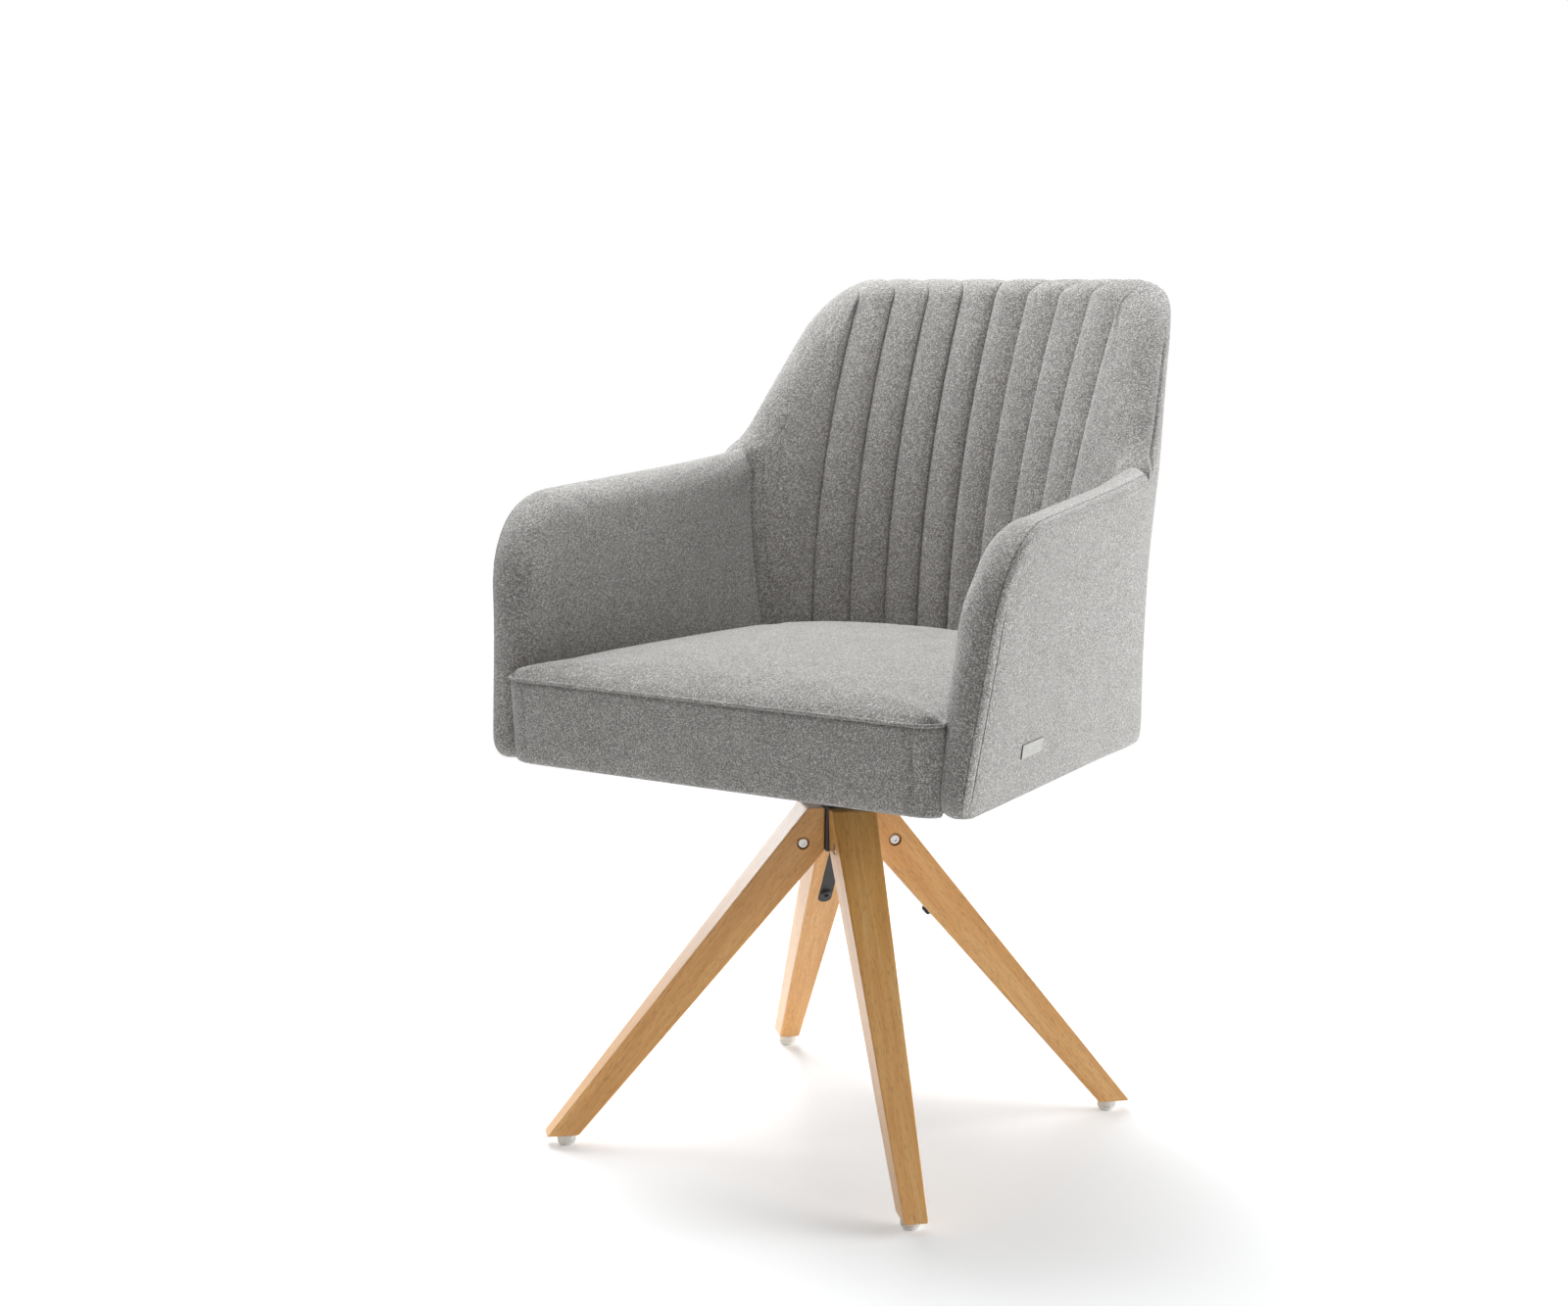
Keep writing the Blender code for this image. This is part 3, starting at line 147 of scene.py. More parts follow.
class Tree:
    """A tree of nodes for a material, the world or Geometry Nodes."""

    def __init__(self, tree):
        self.tree = tree

    def join(self, value, socket):
        value = value.socket if isinstance(value, Field) else value
        if isinstance(value, bpy.types.NodeSocket):
            self.tree.links.new(value, socket)
        else:
            socket.default_value = value

    def node(self, kind, settings=None, *places, **named):
        """A node of a type with its settings, then its inputs by place or by name."""
        node = self.tree.nodes.new(kind)
        settings = dict(settings or {})
        stops = settings.pop("stops", ())
        for key, value in settings.items():
            setattr(node, key, value)
        for index, (place, colour) in enumerate(stops):
            marks = node.color_ramp.elements
            mark = marks[index] if index < len(marks) else marks.new(place)
            mark.position, mark.color = place, (*colour, 1)
        for place, value in enumerate(places):
            self.join(value, node.inputs[place])
        for key, value in named.items():
            self.join(value, node.inputs[key.replace("_", " ")])
        return node

    def field(self, kind, settings=None, *places, output=0, **named):
        return Field(self, self.node(kind, settings, *places, **named).outputs[output])

    def blend(self, share, first, second):
        """Mix of two colours; the Mix node keeps its colour sockets at places 6, 7 and 2."""
        node = self.node("ShaderNodeMix", {"data_type": "RGBA"}, share)
        self.join(first, node.inputs[6])
        self.join(second, node.inputs[7])
        return Field(self, node.outputs[2])


class Finish(Tree):
    """A material and its nodes."""

    def __init__(self, name):
        self.material = bpy.data.materials.new(name)
        self.material.use_nodes = True
        super().__init__(self.material.node_tree)
        self.shader = self.tree.nodes["Principled BSDF"]
        self.at = self.node("ShaderNodeTexCoord").outputs["Object"]

    def noise(self, scale, detail=2.0, roughness=0.5, at=None):
        return self.field("ShaderNodeTexNoise", None, output="Fac", Vector=at or self.at, Scale=scale,
                          Detail=detail, Roughness=roughness)

    def ramp(self, value, *stops):
        return self.field("ShaderNodeValToRGB", {"stops": stops}, Fac=value)

    def spread(self, value, low, high):
        """The value brought from low..high to 0..1, and held there."""
        return self.field("ShaderNodeMapRange", {"clamp": True}, value, low, high, 0.0, 1.0)

    def bump(self, height, distance, strength=1.0):
        normal = self.field("ShaderNodeBump", None, Height=height, Distance=distance, Strength=strength)
        self.join(normal, self.shader.inputs["Normal"])

    def set(self, **sockets):
        for key, value in sockets.items():
            self.join(value, self.shader.inputs[key.replace("_", " ")])


def srgb(code):
    """Linear colour of a hexadecimal sRGB code."""
    parts = [int(code[i:i + 2], 16) / 255 for i in (0, 2, 4)]
    return tuple(p / 12.92 if p <= 0.04045 else ((p + 0.055) / 1.055) ** 2.4 for p in parts)


# %% [markdown]
# ## Studio
# The chair stands in a white room that is brightest behind it and at both sides, so the faces that look
# at the camera are the darker ones. Large soft lamps do that. The white that the camera sees comes from
# Light Path's switches on the floor and the world, so it adds no light to the chair.

# %% Studio
FLOOR_SIZE = 16
AMBIENT, FLOOR_GLOW = 0.205, 0.28
COOL, WARM = (0.965, 0.985, 1.0), (1.0, 0.985, 0.955)
SHADOW_NEAR, SHADOW_FAR = 0.75, 1.9


def seen_directly(tree):
    """1 for camera, mirror and glass rays, 0 for the rays that light the chair."""
    path = tree.node("ShaderNodeLightPath")
    camera_ray, mirror_ray, glass_ray = (Field(tree, path.outputs[f"Is {kind} Ray"])
                                         for kind in ("Camera", "Glossy", "Transmission"))
    return (camera_ray + mirror_ray + glass_ray).least(1.0)


def make_floor():
    mesh = bpy.data.meshes.new("floor")
    half = FLOOR_SIZE / 2
    corners = [(-half, -half, 0), (half, -half, 0), (half, half, 0), (-half, half, 0)]
    mesh.from_pydata(corners, [], [(0, 1, 2, 3)])
    finish = Finish("pale floor")
    finish.set(Base_Color=(0.90, 0.90, 0.90, 1), Roughness=0.6, Specular_IOR_Level=0.2)
    distance = finish.field("ShaderNodeVectorMath", {"operation": "LENGTH"}, finish.at, output="Value")
    away = finish.spread(distance, SHADOW_NEAR, SHADOW_FAR)
    white = finish.node("ShaderNodeEmission", None, (1, 1, 1, 1), 1.0)
    glow = seen_directly(finish) * (away * (1 - FLOOR_GLOW) + FLOOR_GLOW)
    mixed = finish.node("ShaderNodeMixShader", None, glow, finish.shader.outputs[0], white.outputs[0])
    finish.join(mixed.outputs[0], finish.tree.nodes["Material Output"].inputs["Surface"])
    mesh.materials.append(finish.material)
    floor = bpy.data.objects.new("floor", mesh)
    scene.collection.objects.link(floor)
    floor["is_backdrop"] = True


def make_world():
    scene.world = bpy.data.worlds.new("white room")
    scene.world.use_nodes = True
    tree = Tree(scene.world.node_tree)
    light = tree.tree.nodes["Background"]
    seen = seen_directly(tree)
    tree.join(tree.blend(seen, (*WARM, 1), (1, 1, 1, 1)), light.inputs["Color"])
    tree.join(seen * (1 - AMBIENT) + AMBIENT, light.inputs["Strength"])


def add_lamp(name, place, aim, size, power):
    lamp = bpy.data.lights.new(name, "AREA")
    lamp.shape = "RECTANGLE"
    lamp.size, lamp.size_y = size
    lamp.energy = power
    lamp.color = COOL
    holder = bpy.data.objects.new(name, lamp)
    holder.location = place
    holder.rotation_euler = (Vector(aim) - Vector(place)).to_track_quat("-Z", "Y").to_euler()
    scene.collection.objects.link(holder)


make_floor()
make_world()
add_lamp("rear_left", (-2.2, 1.6, 1.6), (0, 0, 0.45), (2.0, 2.4), 60)
add_lamp("rear_right", (2.0, 1.35, 0.95), (0.15, 0.05, 0.5), (1.6, 1.4), 69)
add_lamp("overhead", (-0.75, 0.32, 2.5), (0, 0, 0.5), (1.8, 1.8), 102)

# %% [markdown]
# ## Cloth
# The cover is a fat woven cloth in warm grey. Light yarn ends show as small specks a millimetre or two
# apart on a darker ground, and the gaps between the knots are painted darker as shade. Cells on Object
# coordinates give the same grain on every panel, so no seam has to match a pattern, and a slow noise
# stands for the brushed nap.

# %% Cloth finish
KNOTS, FUZZ, NAP = 930.0, 2300.0, 30.0
YARN = [srgb(code) for code in ("6b6763", "a6a3a0", "d3d0cd")]
YARN_END = srgb("eeece9")


def make_cloth():
    finish = Finish("grey woven cloth")
    knots = finish.node("ShaderNodeTexVoronoi", {"feature": "F1"}, Vector=finish.at, Scale=KNOTS,
                        Randomness=0.9)
    chance = finish.field("ShaderNodeSeparateColor", None, Color=knots.outputs["Color"], output="Red")
    crown = 1 - finish.spread(Field(finish, knots.outputs["Distance"]), 0.12, 0.72)
    speck = finish.spread(chance, 0.66, 0.84) * crown
    fuzz = finish.noise(FUZZ, 2.0, 0.6)
    nap = finish.noise(NAP, 4.0, 0.62)
    # crown * 0.34 - 0.34 darkens the gaps between the knots: painted shade, over the same shape in the bump
    tone = chance * 0.60 + fuzz * 0.48 + nap * 0.24 + crown * 0.34 - 0.34
    ground = finish.ramp(tone, *zip((0.0, 0.5, 1.0), YARN))
    finish.set(Base_Color=finish.blend(speck * 0.85, ground, (*YARN_END, 1)), Roughness=0.94,
               Specular_IOR_Level=0.15, Sheen_Weight=0.5, Sheen_Roughness=0.38)
    finish.bump(crown * 0.8 + fuzz * 0.4, 0.0011, 0.85)
    return finish.material


CLOTH = make_cloth()
print("cloth nodes", len(CLOTH.node_tree.nodes))

# %% [markdown]
# ## The bucket's wall
# Arms, wings and back are one bent wall. Its two faces follow simple rules, the same as in the CAD
# model: s runs from -1 at an arm's front over 0 at the rear corner to 1 at the middle of the back,
# and a depth is measured from the outer face inwards. Every soft piece is laid out on this wall, and
# the left half is the right half mirrored.

# %% Wall
WALL_LOW, BACK_TOP, BACK_DATUM, BACK_STEP = 0.3955, 0.870, 0.650, 0.22
OUTER_BACK, INNER_BACK = (0.282, 0.172, 0.0203), (0.226, 0.243, 0.0293)
HOLLOW, HOLLOW_EASE = 0.0794, 0.199
ARM_FRONT, ARM_TOP_FRONT, ARM_TOP_REAR, ARM_CORNER = 0.232, 0.651, 0.679, 0.088
ARM_LEAN, ARM_FLARE = 0.10, 0.113
OUTER_FRONT_X, INNER_FRONT_X, INNER_TAPER = 0.272, 0.23854, -0.070
JUNCTION, JUNCTION_X, JUNCTION_Y = (0.256, 0.163, 0.676), (0.0725, -0.245), (0.373, 0.745)
NEAR_HANDLE, NEAR_SLANT, FAR_HANDLE = (0.215, 0.044), (0.105, 0.5), (0.267, 0.130)
SEAM_X, SEAM_Z, SEAM_SLOPES = 0.2235, 0.700, (0.215, -0.22)
SOFTNESS = 0.030
SEAT_SEAM = 0.479
ARM_LENGTH = ARM_FRONT + JUNCTION[1]
ARM_HEIGHT = ARM_TOP_FRONT - WALL_LOW
RIM, TOP_RIM = 0.0185, 0.0095
FOAM_FACE, PANEL = 0.0158, 0.004
TO_AXIS = np.array((0, AXIS_Y, 0))


def mix(a, b, share):
    return a + (b - a) * share


def smooth(share):
    share = np.clip(share, 0.0, 1.0)
    return share * share * (3 - 2 * share)


def bent(run, low, high):
    """A line with one slope below zero and another above, softly joined."""
    return 0.5 * (low + high) * run + 0.5 * (high - low) * (np.hypot(run, SOFTNESS) - SOFTNESS)


def back_line(z, start, slope, bow):
    """y of the back's middle line at a height."""
    rise = z - BACK_DATUM
    return start + slope * rise + bow * (rise / BACK_STEP) ** 2


def inner_back_y(x, z):
    hollow = (HOLLOW - HOLLOW_EASE * (z - BACK_DATUM)) * (x / SEAM_X) ** 2
    return back_line(z, *INNER_BACK) - hollow


def seam_x(z):
    return SEAM_X + bent(z - SEAM_Z, *SEAM_SLOPES)


def arm_front_y(z):
    return -ARM_FRONT + ARM_LEAN * (z - WALL_LOW)


def point(x, y, z):
    return np.stack(np.broadcast_arrays(x, y, z), -1)


def outer_face(s, z, straight=False):
    s, z = np.broadcast_arrays(np.asarray(s, float), np.asarray(z, float))
    run = z - JUNCTION[2]
    corner = point(JUNCTION[0] + bent(run, *JUNCTION_X), JUNCTION[1] + bent(run, *JUNCTION_Y), z)
    front = point(OUTER_FRONT_X + ARM_FLARE * (z - WALL_LOW), arm_front_y(z), z)
    arm = corner + (front - corner) * -s[..., None]
    share = (z - WALL_LOW) / (BACK_TOP - WALL_LOW)
    handle = mix(*NEAR_HANDLE, share)
    near = corner + point(-mix(*NEAR_SLANT, share * share) * handle, handle, 0 * z)
    middle = point(0 * z, back_line(z, *OUTER_BACK), z)
    far = middle + point(mix(*FAR_HANDLE, share), 0 * z, 0 * z)
    t = np.clip(s, 0, 1)[..., None]
    back = corner * (1 - t) ** 3 + near * 3 * (1 - t) ** 2 * t + far * 3 * (1 - t) * t**2 + middle * t**3
    return np.where((s[..., None] < 0) | straight, arm, back)


def inner_face(s, z, straight=False):
    s, z = np.broadcast_arrays(np.asarray(s, float), np.asarray(z, float))
    edge = seam_x(z)
    corner = point(edge, inner_back_y(edge, z), z)
    front = point(INNER_FRONT_X + bent(z - SEAT_SEAM, INNER_TAPER, ARM_FLARE), arm_front_y(z), z)
    arm = corner + (front - corner) * -s[..., None]
    x = edge * (1 - np.clip(s, 0, 1))
    back = point(x, inner_back_y(x, z), z)
    return np.where((s[..., None] < 0) | straight, arm, back)


def thickness(s, z, straight=False):
    return np.linalg.norm(inner_face(s, z, straight) - outer_face(s, z, straight), axis=-1)


def wall(s, z, depth, straight=False):
    """Points at a depth from the outer face, in the frame's place."""
    outer = outer_face(s, z, straight)
    inward = inner_face(s, z, straight) - outer
    inward /= np.linalg.norm(inward, axis=-1, keepdims=True)
    return outer + inward * np.asarray(depth)[..., None] + TO_AXIS


def rim_steps(count):
    """Distances from a rim at even angles round its half ellipse."""
    return RIM * (1 - np.cos(np.linspace(0, math.pi / 2, count + 1)))


def fullness(edge, rim=RIM, power=2.0):
    """Share of the full thickness near an edge; a higher power gives a squarer rim."""
    left = 1 - np.clip(edge / rim, 0, 1)
    return np.clip(1 - left**power, 0, 1) ** (1 / power)


print("wall at the middle of the back", round(float(thickness(1.0, BACK_DATUM)) * 1000, 1), "mm thick")

# %% [markdown]
# ## Covers from grids
# Each cover is a closed skin: a grid of points on its show face and a grid on its hidden face, joined
# round the border. A number at each point says how firmly it is sewn or glued down, for the cloth
# simulation that fills the cover afterwards.

# %% Covers from grids


def mesh_of(name, points, faces, held):
    """Mesh with doubled points merged, faces turned outwards and the hold of each point."""
    build = bmesh.new()
    layer = build.verts.layers.float.new("held")
    corners = []
    for place, hold in zip(points, held):
        corner = build.verts.new(place)
        corner[layer] = hold
        corners.append(corner)
    for face in faces:
        build.faces.new([corners[i] for i in face])
    bmesh.ops.remove_doubles(build, verts=build.verts, dist=3e-6)
    bmesh.ops.recalc_face_normals(build, faces=build.faces)
    mesh = bpy.data.meshes.new(name)
    build.to_mesh(mesh)
    build.free()
    return mesh


def grid_faces(columns, rows, start=0, keep=None):
    faces = []
    for i in range(columns - 1):
        for j in range(rows - 1):
            if keep is None or keep[i, j]:
                a = start + i * rows + j
                faces.append((a, a + rows, a + rows + 1, a + 1))
    return faces


def skin(name, front, back, held, keep=None):
    """Closed mesh between two grids of points over the same columns and rows."""
    columns, rows = front.shape[:2]
    keep = np.ones((columns - 1, rows - 1), bool) if keep is None else keep
    count = columns * rows
    faces = grid_faces(columns, rows, 0, keep) + grid_faces(columns, rows, count, keep)
    padded = np.pad(keep, 1)
    for i, j in zip(*np.nonzero(keep)):
        corners = (i, j), (i + 1, j), (i + 1, j + 1), (i, j + 1)
        beside = (i, j - 1), (i + 1, j), (i, j + 1), (i - 1, j)
        for k, (p, q) in enumerate(beside):
            if not padded[p + 1, q + 1]:
                a = corners[k][0] * rows + corners[k][1]
                b = corners[(k + 1) % 4][0] * rows + corners[(k + 1) % 4][1]
                faces.append((a, b, b + count, a + count))
    used = sorted({i for face in faces for i in face})
    place = {old: new for new, old in enumerate(used)}
    points = np.concatenate([front.reshape(-1, 3), back.reshape(-1, 3)])[used]
    holds = np.concatenate([held[0].ravel(), held[1].ravel()])[used]
    return mesh_of(name, points.tolist(), [[place[i] for i in face] for face in faces], holds.tolist())


def both_halves(grid):
    """A grid that ends at the chair's middle, with its mirror image."""
    mirror = np.array((-1, 1, 1)) if grid.ndim == 3 else 1
    return np.concatenate([grid, (grid * mirror)[-2::-1]])


def largest(*grids):
    """The largest of several grids' values at each point."""
    return functools.reduce(np.maximum, grids)


def other_side(mesh):
    copy = mesh.copy()
    copy.transform(Matrix.Diagonal((-1, 1, 1, 1)))
    copy.flip_normals()
    return copy


def wear(mesh, material):
    mesh.materials.clear()
    mesh.materials.append(material)


def add_piece(name, mesh, material, body):
    mesh.name = name
    wear(mesh, material)
    mesh.shade_smooth()
    piece = bpy.data.objects.new(name, mesh)
    scene.collection.objects.link(piece)
    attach(piece, body)
    return piece


def add_cover(name, mesh, node):
    """A cover of the cloth on the seat, in place of one CAD piece."""
    cover = add_piece(name, mesh, CLOTH, "seat")
    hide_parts(node)


def add_pair(name, right, node):
    """The cover on the right, and its mirror image on the left."""
    for where, mesh in (("right", right), ("left", other_side(right))):
        add_cover(f"{name}_{where}", mesh, f"{node}_{where}")


# %% [markdown]
# ## Filling a cover
# Foam presses a cover out between its seams. Blender's Cloth does the same with a pressure inside a
# closed skin and no gravity. The sewn points stay, the others may move a few millimetres, and the
# result is written back to the mesh, so that no simulation is left on the piece.

# %% Filling a cover
FRAMES, PRESSURE = 20, 4.0


def fill_cover(mesh, most):
    """Presses the free points of a closed skin outwards, each by less than the most given."""
    hold = np.zeros(len(mesh.vertices), np.float32)
    mesh.attributes["held"].data.foreach_get("value", hold)
    mesh.attributes.remove(mesh.attributes["held"])
    piece = bpy.data.objects.new("filling", mesh)
    scene.collection.objects.link(piece)
    sewn = piece.vertex_groups.new(name="sewn")
    for index, value in enumerate(hold):
        sewn.add([index], float(value), "REPLACE")
    cloth = piece.modifiers.new("foam pressure", "CLOTH")
    settings = cloth.settings
    settings.vertex_group_mass = "sewn"
    settings.mass = 0.02
    settings.quality = 6
    settings.tension_stiffness = settings.compression_stiffness = 12
    settings.bending_stiffness = 0.6
    settings.use_pressure = True
    settings.uniform_pressure_force = PRESSURE
    settings.effector_weights.gravity = 0
    cloth.collision_settings.use_collision = False
    cloth.collision_settings.use_self_collision = False
    cloth.point_cache.frame_start, cloth.point_cache.frame_end = 1, FRAMES
    for number in range(1, FRAMES + 1):
        scene.frame_set(number)
    result = piece.evaluated_get(bpy.context.evaluated_depsgraph_get()).to_mesh()
    start = np.zeros(len(mesh.vertices) * 3, np.float32)
    end = np.zeros_like(start)
    mesh.vertices.foreach_get("co", start)
    result.vertices.foreach_get("co", end)
    move = (end - start).reshape(-1, 3)
    size = np.linalg.norm(move, axis=1, keepdims=True)
    move *= most / (size + most)
    bpy.data.objects.remove(piece)
    scene.frame_set(1)
    mesh.vertices.foreach_set("co", (start.reshape(-1, 3) + move).ravel())
    mesh.update()
    furthest = float(np.linalg.norm(move, axis=1).max())
    print(mesh.name, "filled by up to", round(furthest * 1000, 1), "mm")
    return mesh


# %% [markdown]
# ## Arms
# An arm is foam over a board, covered from the inside over a rolled rim. The rim is half an ellipse
# across the wall, and a seam is drawn into its outer half all along. The outline has a wide round corner
# at the front top and a small one at the front foot, and it swells a little where it meets the wing.

# %% Arms
FOOT_CORNER, FOOT_AHEAD = 0.022, 0.007
INSIDE_ROLL, PANEL_ROLL, CORE_FACE = (0.008, 0.009), (0.0036, 0.028), 0.0040
TUCK, LIP, TIP = 0.0011, 0.004, 0.016
SHOULDER, SHOULDER_RUN = 0.0055, 0.11
SEAM_DIP, SEAM_TURN, SEAM_CUT, SEAM_WIDTH = 0.0009, 0.43, 0.0016, 0.03
FRONT_CURVE, FRONT_RUN = 0.0042, 0.07
LOW_ROWS = np.array((0, 0.0006, 0.0022, 0.0050, 0.0088, 0.0140))


def outline_top(aside, corner, height, inset):
    """Height of an outline with a round corner, at a place beside its edge, less an inset all round."""
    reach = corner - inset
    left = np.clip(corner - aside, 0, reach)
    return height - corner + np.sqrt(reach**2 - left**2)


def outline_edge(aside, up, corner, height, top):
    """Distance to such an outline: to its side, its round corner or its top."""
    over = height - corner
    in_corner = (aside < corner) & (up > over)
    round_edge = corner - np.hypot(corner - aside, up - over)
    return np.maximum(0, np.where(in_corner, round_edge, np.minimum(aside, top - up)))


def arm_top(along, inset):
    return outline_top(along, ARM_CORNER, ARM_HEIGHT, inset)


def arm_edge(along, up):
    return outline_edge(along, up, ARM_CORNER, ARM_HEIGHT, ARM_HEIGHT)


def arm_place(along, up):
    """s and height of a place on the arm, with the round corner at the foot of its front."""
    left = np.clip(FOOT_CORNER - up, 0, FOOT_CORNER)
    shift = FOOT_CORNER - np.sqrt(FOOT_CORNER**2 - left**2)
    top = mix(ARM_TOP_FRONT, ARM_TOP_REAR, along / ARM_LENGTH)
    z = WALL_LOW + (top - WALL_LOW) * up / ARM_HEIGHT
    ahead = FOOT_AHEAD * (1 - smooth(up / 0.15)) * (1 - smooth(along / 0.09))
    moved = along + shift * (1 - smooth(along / 0.06)) - ahead
    return moved / ARM_LENGTH - 1, z


def arm_rim(along):
    """Width of the rim on the outside: wide down the front, narrow along the top."""
    return mix(RIM, TOP_RIM, smooth(along / 0.045))


def seam_steps():
    """Distances from a rim at even angles round it, with closer ones beside the seam."""
    beside = SEAM_TURN + np.array((-0.04, -0.02, 0.02, 0.04))
    turns = np.sort(np.concatenate([np.linspace(0, 1, 9), beside, [0.97]]))
    return RIM * (1 - np.cos(turns * math.pi / 2))


def from_seam_turn(edge, rim):
    """How far a place on a rim is from its seam, in quarter turns."""
    return np.abs(np.arccos(np.clip(1 - edge / rim, 0, 1)) / (math.pi / 2) - SEAM_TURN)


def drawn_in(along, up, amount):
    """A place on the arm moved in from its outline."""
    left, over = np.maximum(ARM_CORNER - along, 0), np.maximum(up - ARM_HEIGHT + ARM_CORNER, 0)
    size = np.maximum(np.hypot(left, over), 1e-9)
    return along + amount * left / size, up - amount * over / size


def under_roll(z, reach, tall):
    """How far a face turns in at its lower edge."""
    left = np.clip(1 - (z - WALL_LOW) / tall, 0, 1)
    return reach * (1 - np.sqrt(1 - left * left))


def turn_in(along):
    """How far the outside curves in towards the arm's front."""
    return FRONT_CURVE * np.clip(1 - along / FRONT_RUN, 0, 1) ** 2


def under_panel(edge, rim=RIM):
    """Depth of the hidden side: a lip under the next panel, then the board."""
    return np.where(edge < rim + LIP + 1e-5, mix(TUCK, PANEL, (edge - rim) / LIP), FOAM_FACE)


def under_cushion(z):
    """1 where the cushion hides a cover and holds it."""
    return smooth((SEAT_SEAM + 0.01 - z) / 0.03)


def at_wing(place):
    """1 where the arm's cover is sewn to the wing."""
    return smooth((place - ARM_LENGTH + 0.012) / 0.008)


def arm_columns():
    """Distances of the columns from the arm's front to its tip on the wing."""
    return np.concatenate([seam_steps(), np.linspace(RIM + LIP, ARM_CORNER, 14),
                           np.linspace(ARM_CORNER, ARM_LENGTH - 0.006, 50)[1:],
                           ARM_LENGTH - np.array((0.0045, 0.003, 0.0015, 0.0)),
                           ARM_LENGTH + np.linspace(0, TIP, 6)[1:]])


def arm_layout(along, rim):
    """Places over the arm whose last rows follow a rim of a width, with what depends on them."""
    shares = np.concatenate([LOW_ROWS / (ARM_HEIGHT - RIM), np.linspace(0.085, 1, 36)])
    up = np.column_stack([arm_top(along, rim + LIP) * share for share in shares]
                         + [arm_top(along, rim * step) for step in seam_steps()[::-1] / RIM])
    reach = ARM_LENGTH + TIP * smooth((up - ARM_HEIGHT + 2.4 * RIM) / (1.2 * RIM))
    place = np.minimum(np.broadcast_to(along[:, None], up.shape), reach)
    swell = SHOULDER * smooth((place - ARM_LENGTH + SHOULDER_RUN) / SHOULDER_RUN)
    return place, up, arm_edge(place, up), swell


def make_arm_cover():
    along = arm_columns()
    place, up, edge, swell = arm_layout(along, RIM + 0 * along)
    s, z = arm_place(place, up)
    full, half = fullness(edge), thickness(s, z, True) / 2
    sewn = smooth(1 - (ARM_LENGTH - place) / 0.004)
    depth = half * (1 + full) - (under_roll(z, *INSIDE_ROLL) + SEAM_DIP * sewn) * full
    front = wall(s, z + swell * smooth(1 - edge / (2.6 * RIM)), depth, True)
    held_front = np.maximum(at_wing(place), under_cushion(z))

    place, up, edge, swell = arm_layout(along, arm_rim(along))
    rim = arm_rim(place)
    from_seam = from_seam_turn(edge, rim) / SEAM_WIDTH
    s, z = arm_place(*drawn_in(place, up, SEAM_CUT * np.clip(1.3 - from_seam, 0, 1)))
    full, half = fullness(edge, rim, 2.6), thickness(s, z, True) / 2
    sunk = np.minimum((under_roll(z, *PANEL_ROLL) + turn_in(place)) * full, CORE_FACE)
    behind = np.where(edge > rim + 1e-6, under_panel(edge, rim), half * (1 - full) + sunk)
    back = wall(s, z + swell * (1 - full), behind, True)
    covered = np.where(edge > rim - 0.004, 1.0, 0.0)
    held_back = largest(covered, at_wing(place), under_cushion(z), smooth(2 - from_seam))
    return skin("arm_cover", front, back, (held_front, held_back))


arm_right = fill_cover(make_arm_cover(), 0.005)
add_pair("arm_cover", arm_right, "arm_pad")
print("arm cover", len(arm_right.polygons), "faces")

# %% [markdown]
# ## Back
# The inner back has eight sewn channels between two plain wings. Foam stands up between the seams, and
# the crest dips a little at each one. The rim rolls over the top and over the wings' edges to the outer
# panels, and the arms' seam runs on up the edge of each wing.

# %% Back
CHANNELS, COLUMNS_PER_CHANNEL = 4, 12
CHANNEL_WIDTH, CHANNEL_SPREAD = 0.0378, 0.0125
CHANNEL_RISE, SEAM_DEPTH, CREST_DIP = 0.0058, 0.0020, 0.0030
TOP_CORNER, BACK_LOW = 0.060, 0.420
PANEL_GAP = 0.0003
PANEL_EDGE = RIM + PANEL_GAP
ARM_SEAM = ARM_TOP_REAR - (TOP_RIM + PANEL_GAP) * (ARM_TOP_REAR - WALL_LOW) / ARM_HEIGHT
WING_FOOT, WING_SEAM, WING_GROOVE, GROOVE_WIDTH = 0.006, 0.0030, 0.0017, 0.0013
WING_SHARES = np.concatenate([np.linspace(1, 0.12, 15), (0.07, 0.03)])
LIP_STEPS = RIM + LIP * np.array((0.08, 0.25, 0.55))
UPPER_SHARES = np.linspace(0, 1, 27)[1:]


def channel_x(column, z):
    return column * (CHANNEL_WIDTH + CHANNEL_SPREAD * (z - BACK_DATUM))


def edge_x(z):
    """The wing's edge, which runs out a little at its foot to meet the arm's top."""
    foot = smooth((z - ARM_TOP_REAR + 0.024) / 0.022) * (1 - smooth((z - ARM_TOP_REAR) / 0.038))
    return seam_x(z) + WING_FOOT * foot


def back_columns():
    """Columns from the wing's edge to the middle, each as (kind, value)."""
    across = 0.5 - 0.5 * np.cos(np.linspace(0, math.pi, COLUMNS_PER_CHANNEL + 1))
    channel = [("channel", line - share) for line in range(CHANNELS, 0, -1) for share in across[:-1]]
    beside_seam = WING_SEAM + np.linspace(-0.0018, 0.0018, 7)
    rim = np.sort(np.concatenate([rim_steps(9), beside_seam, LIP_STEPS]))
    wing = [("wing", share) for share in WING_SHARES]
    return [("rim", edge) for edge in rim] + wing + channel + [("channel", 0.0)]


def back_x(column, z):
    kind, value = column
    if kind == "rim":
        return edge_x(z) - value
    if kind == "wing":
        return mix(channel_x(CHANNELS, z), edge_x(z) - RIM - LIP, value)
    return channel_x(value, z)


def pillow(column):
    """How full a sewn channel or the wing is at a column."""
    kind, value = column
    if kind == "channel":
        off_middle = 2 * (value % 1) - 1
        return math.sqrt(1 - abs(off_middle) ** 2.4)
    if kind == "wing":
        near = min(1.0, value / 0.45)
        return math.sqrt(1 - (1 - near) ** 2)
    return 1.0


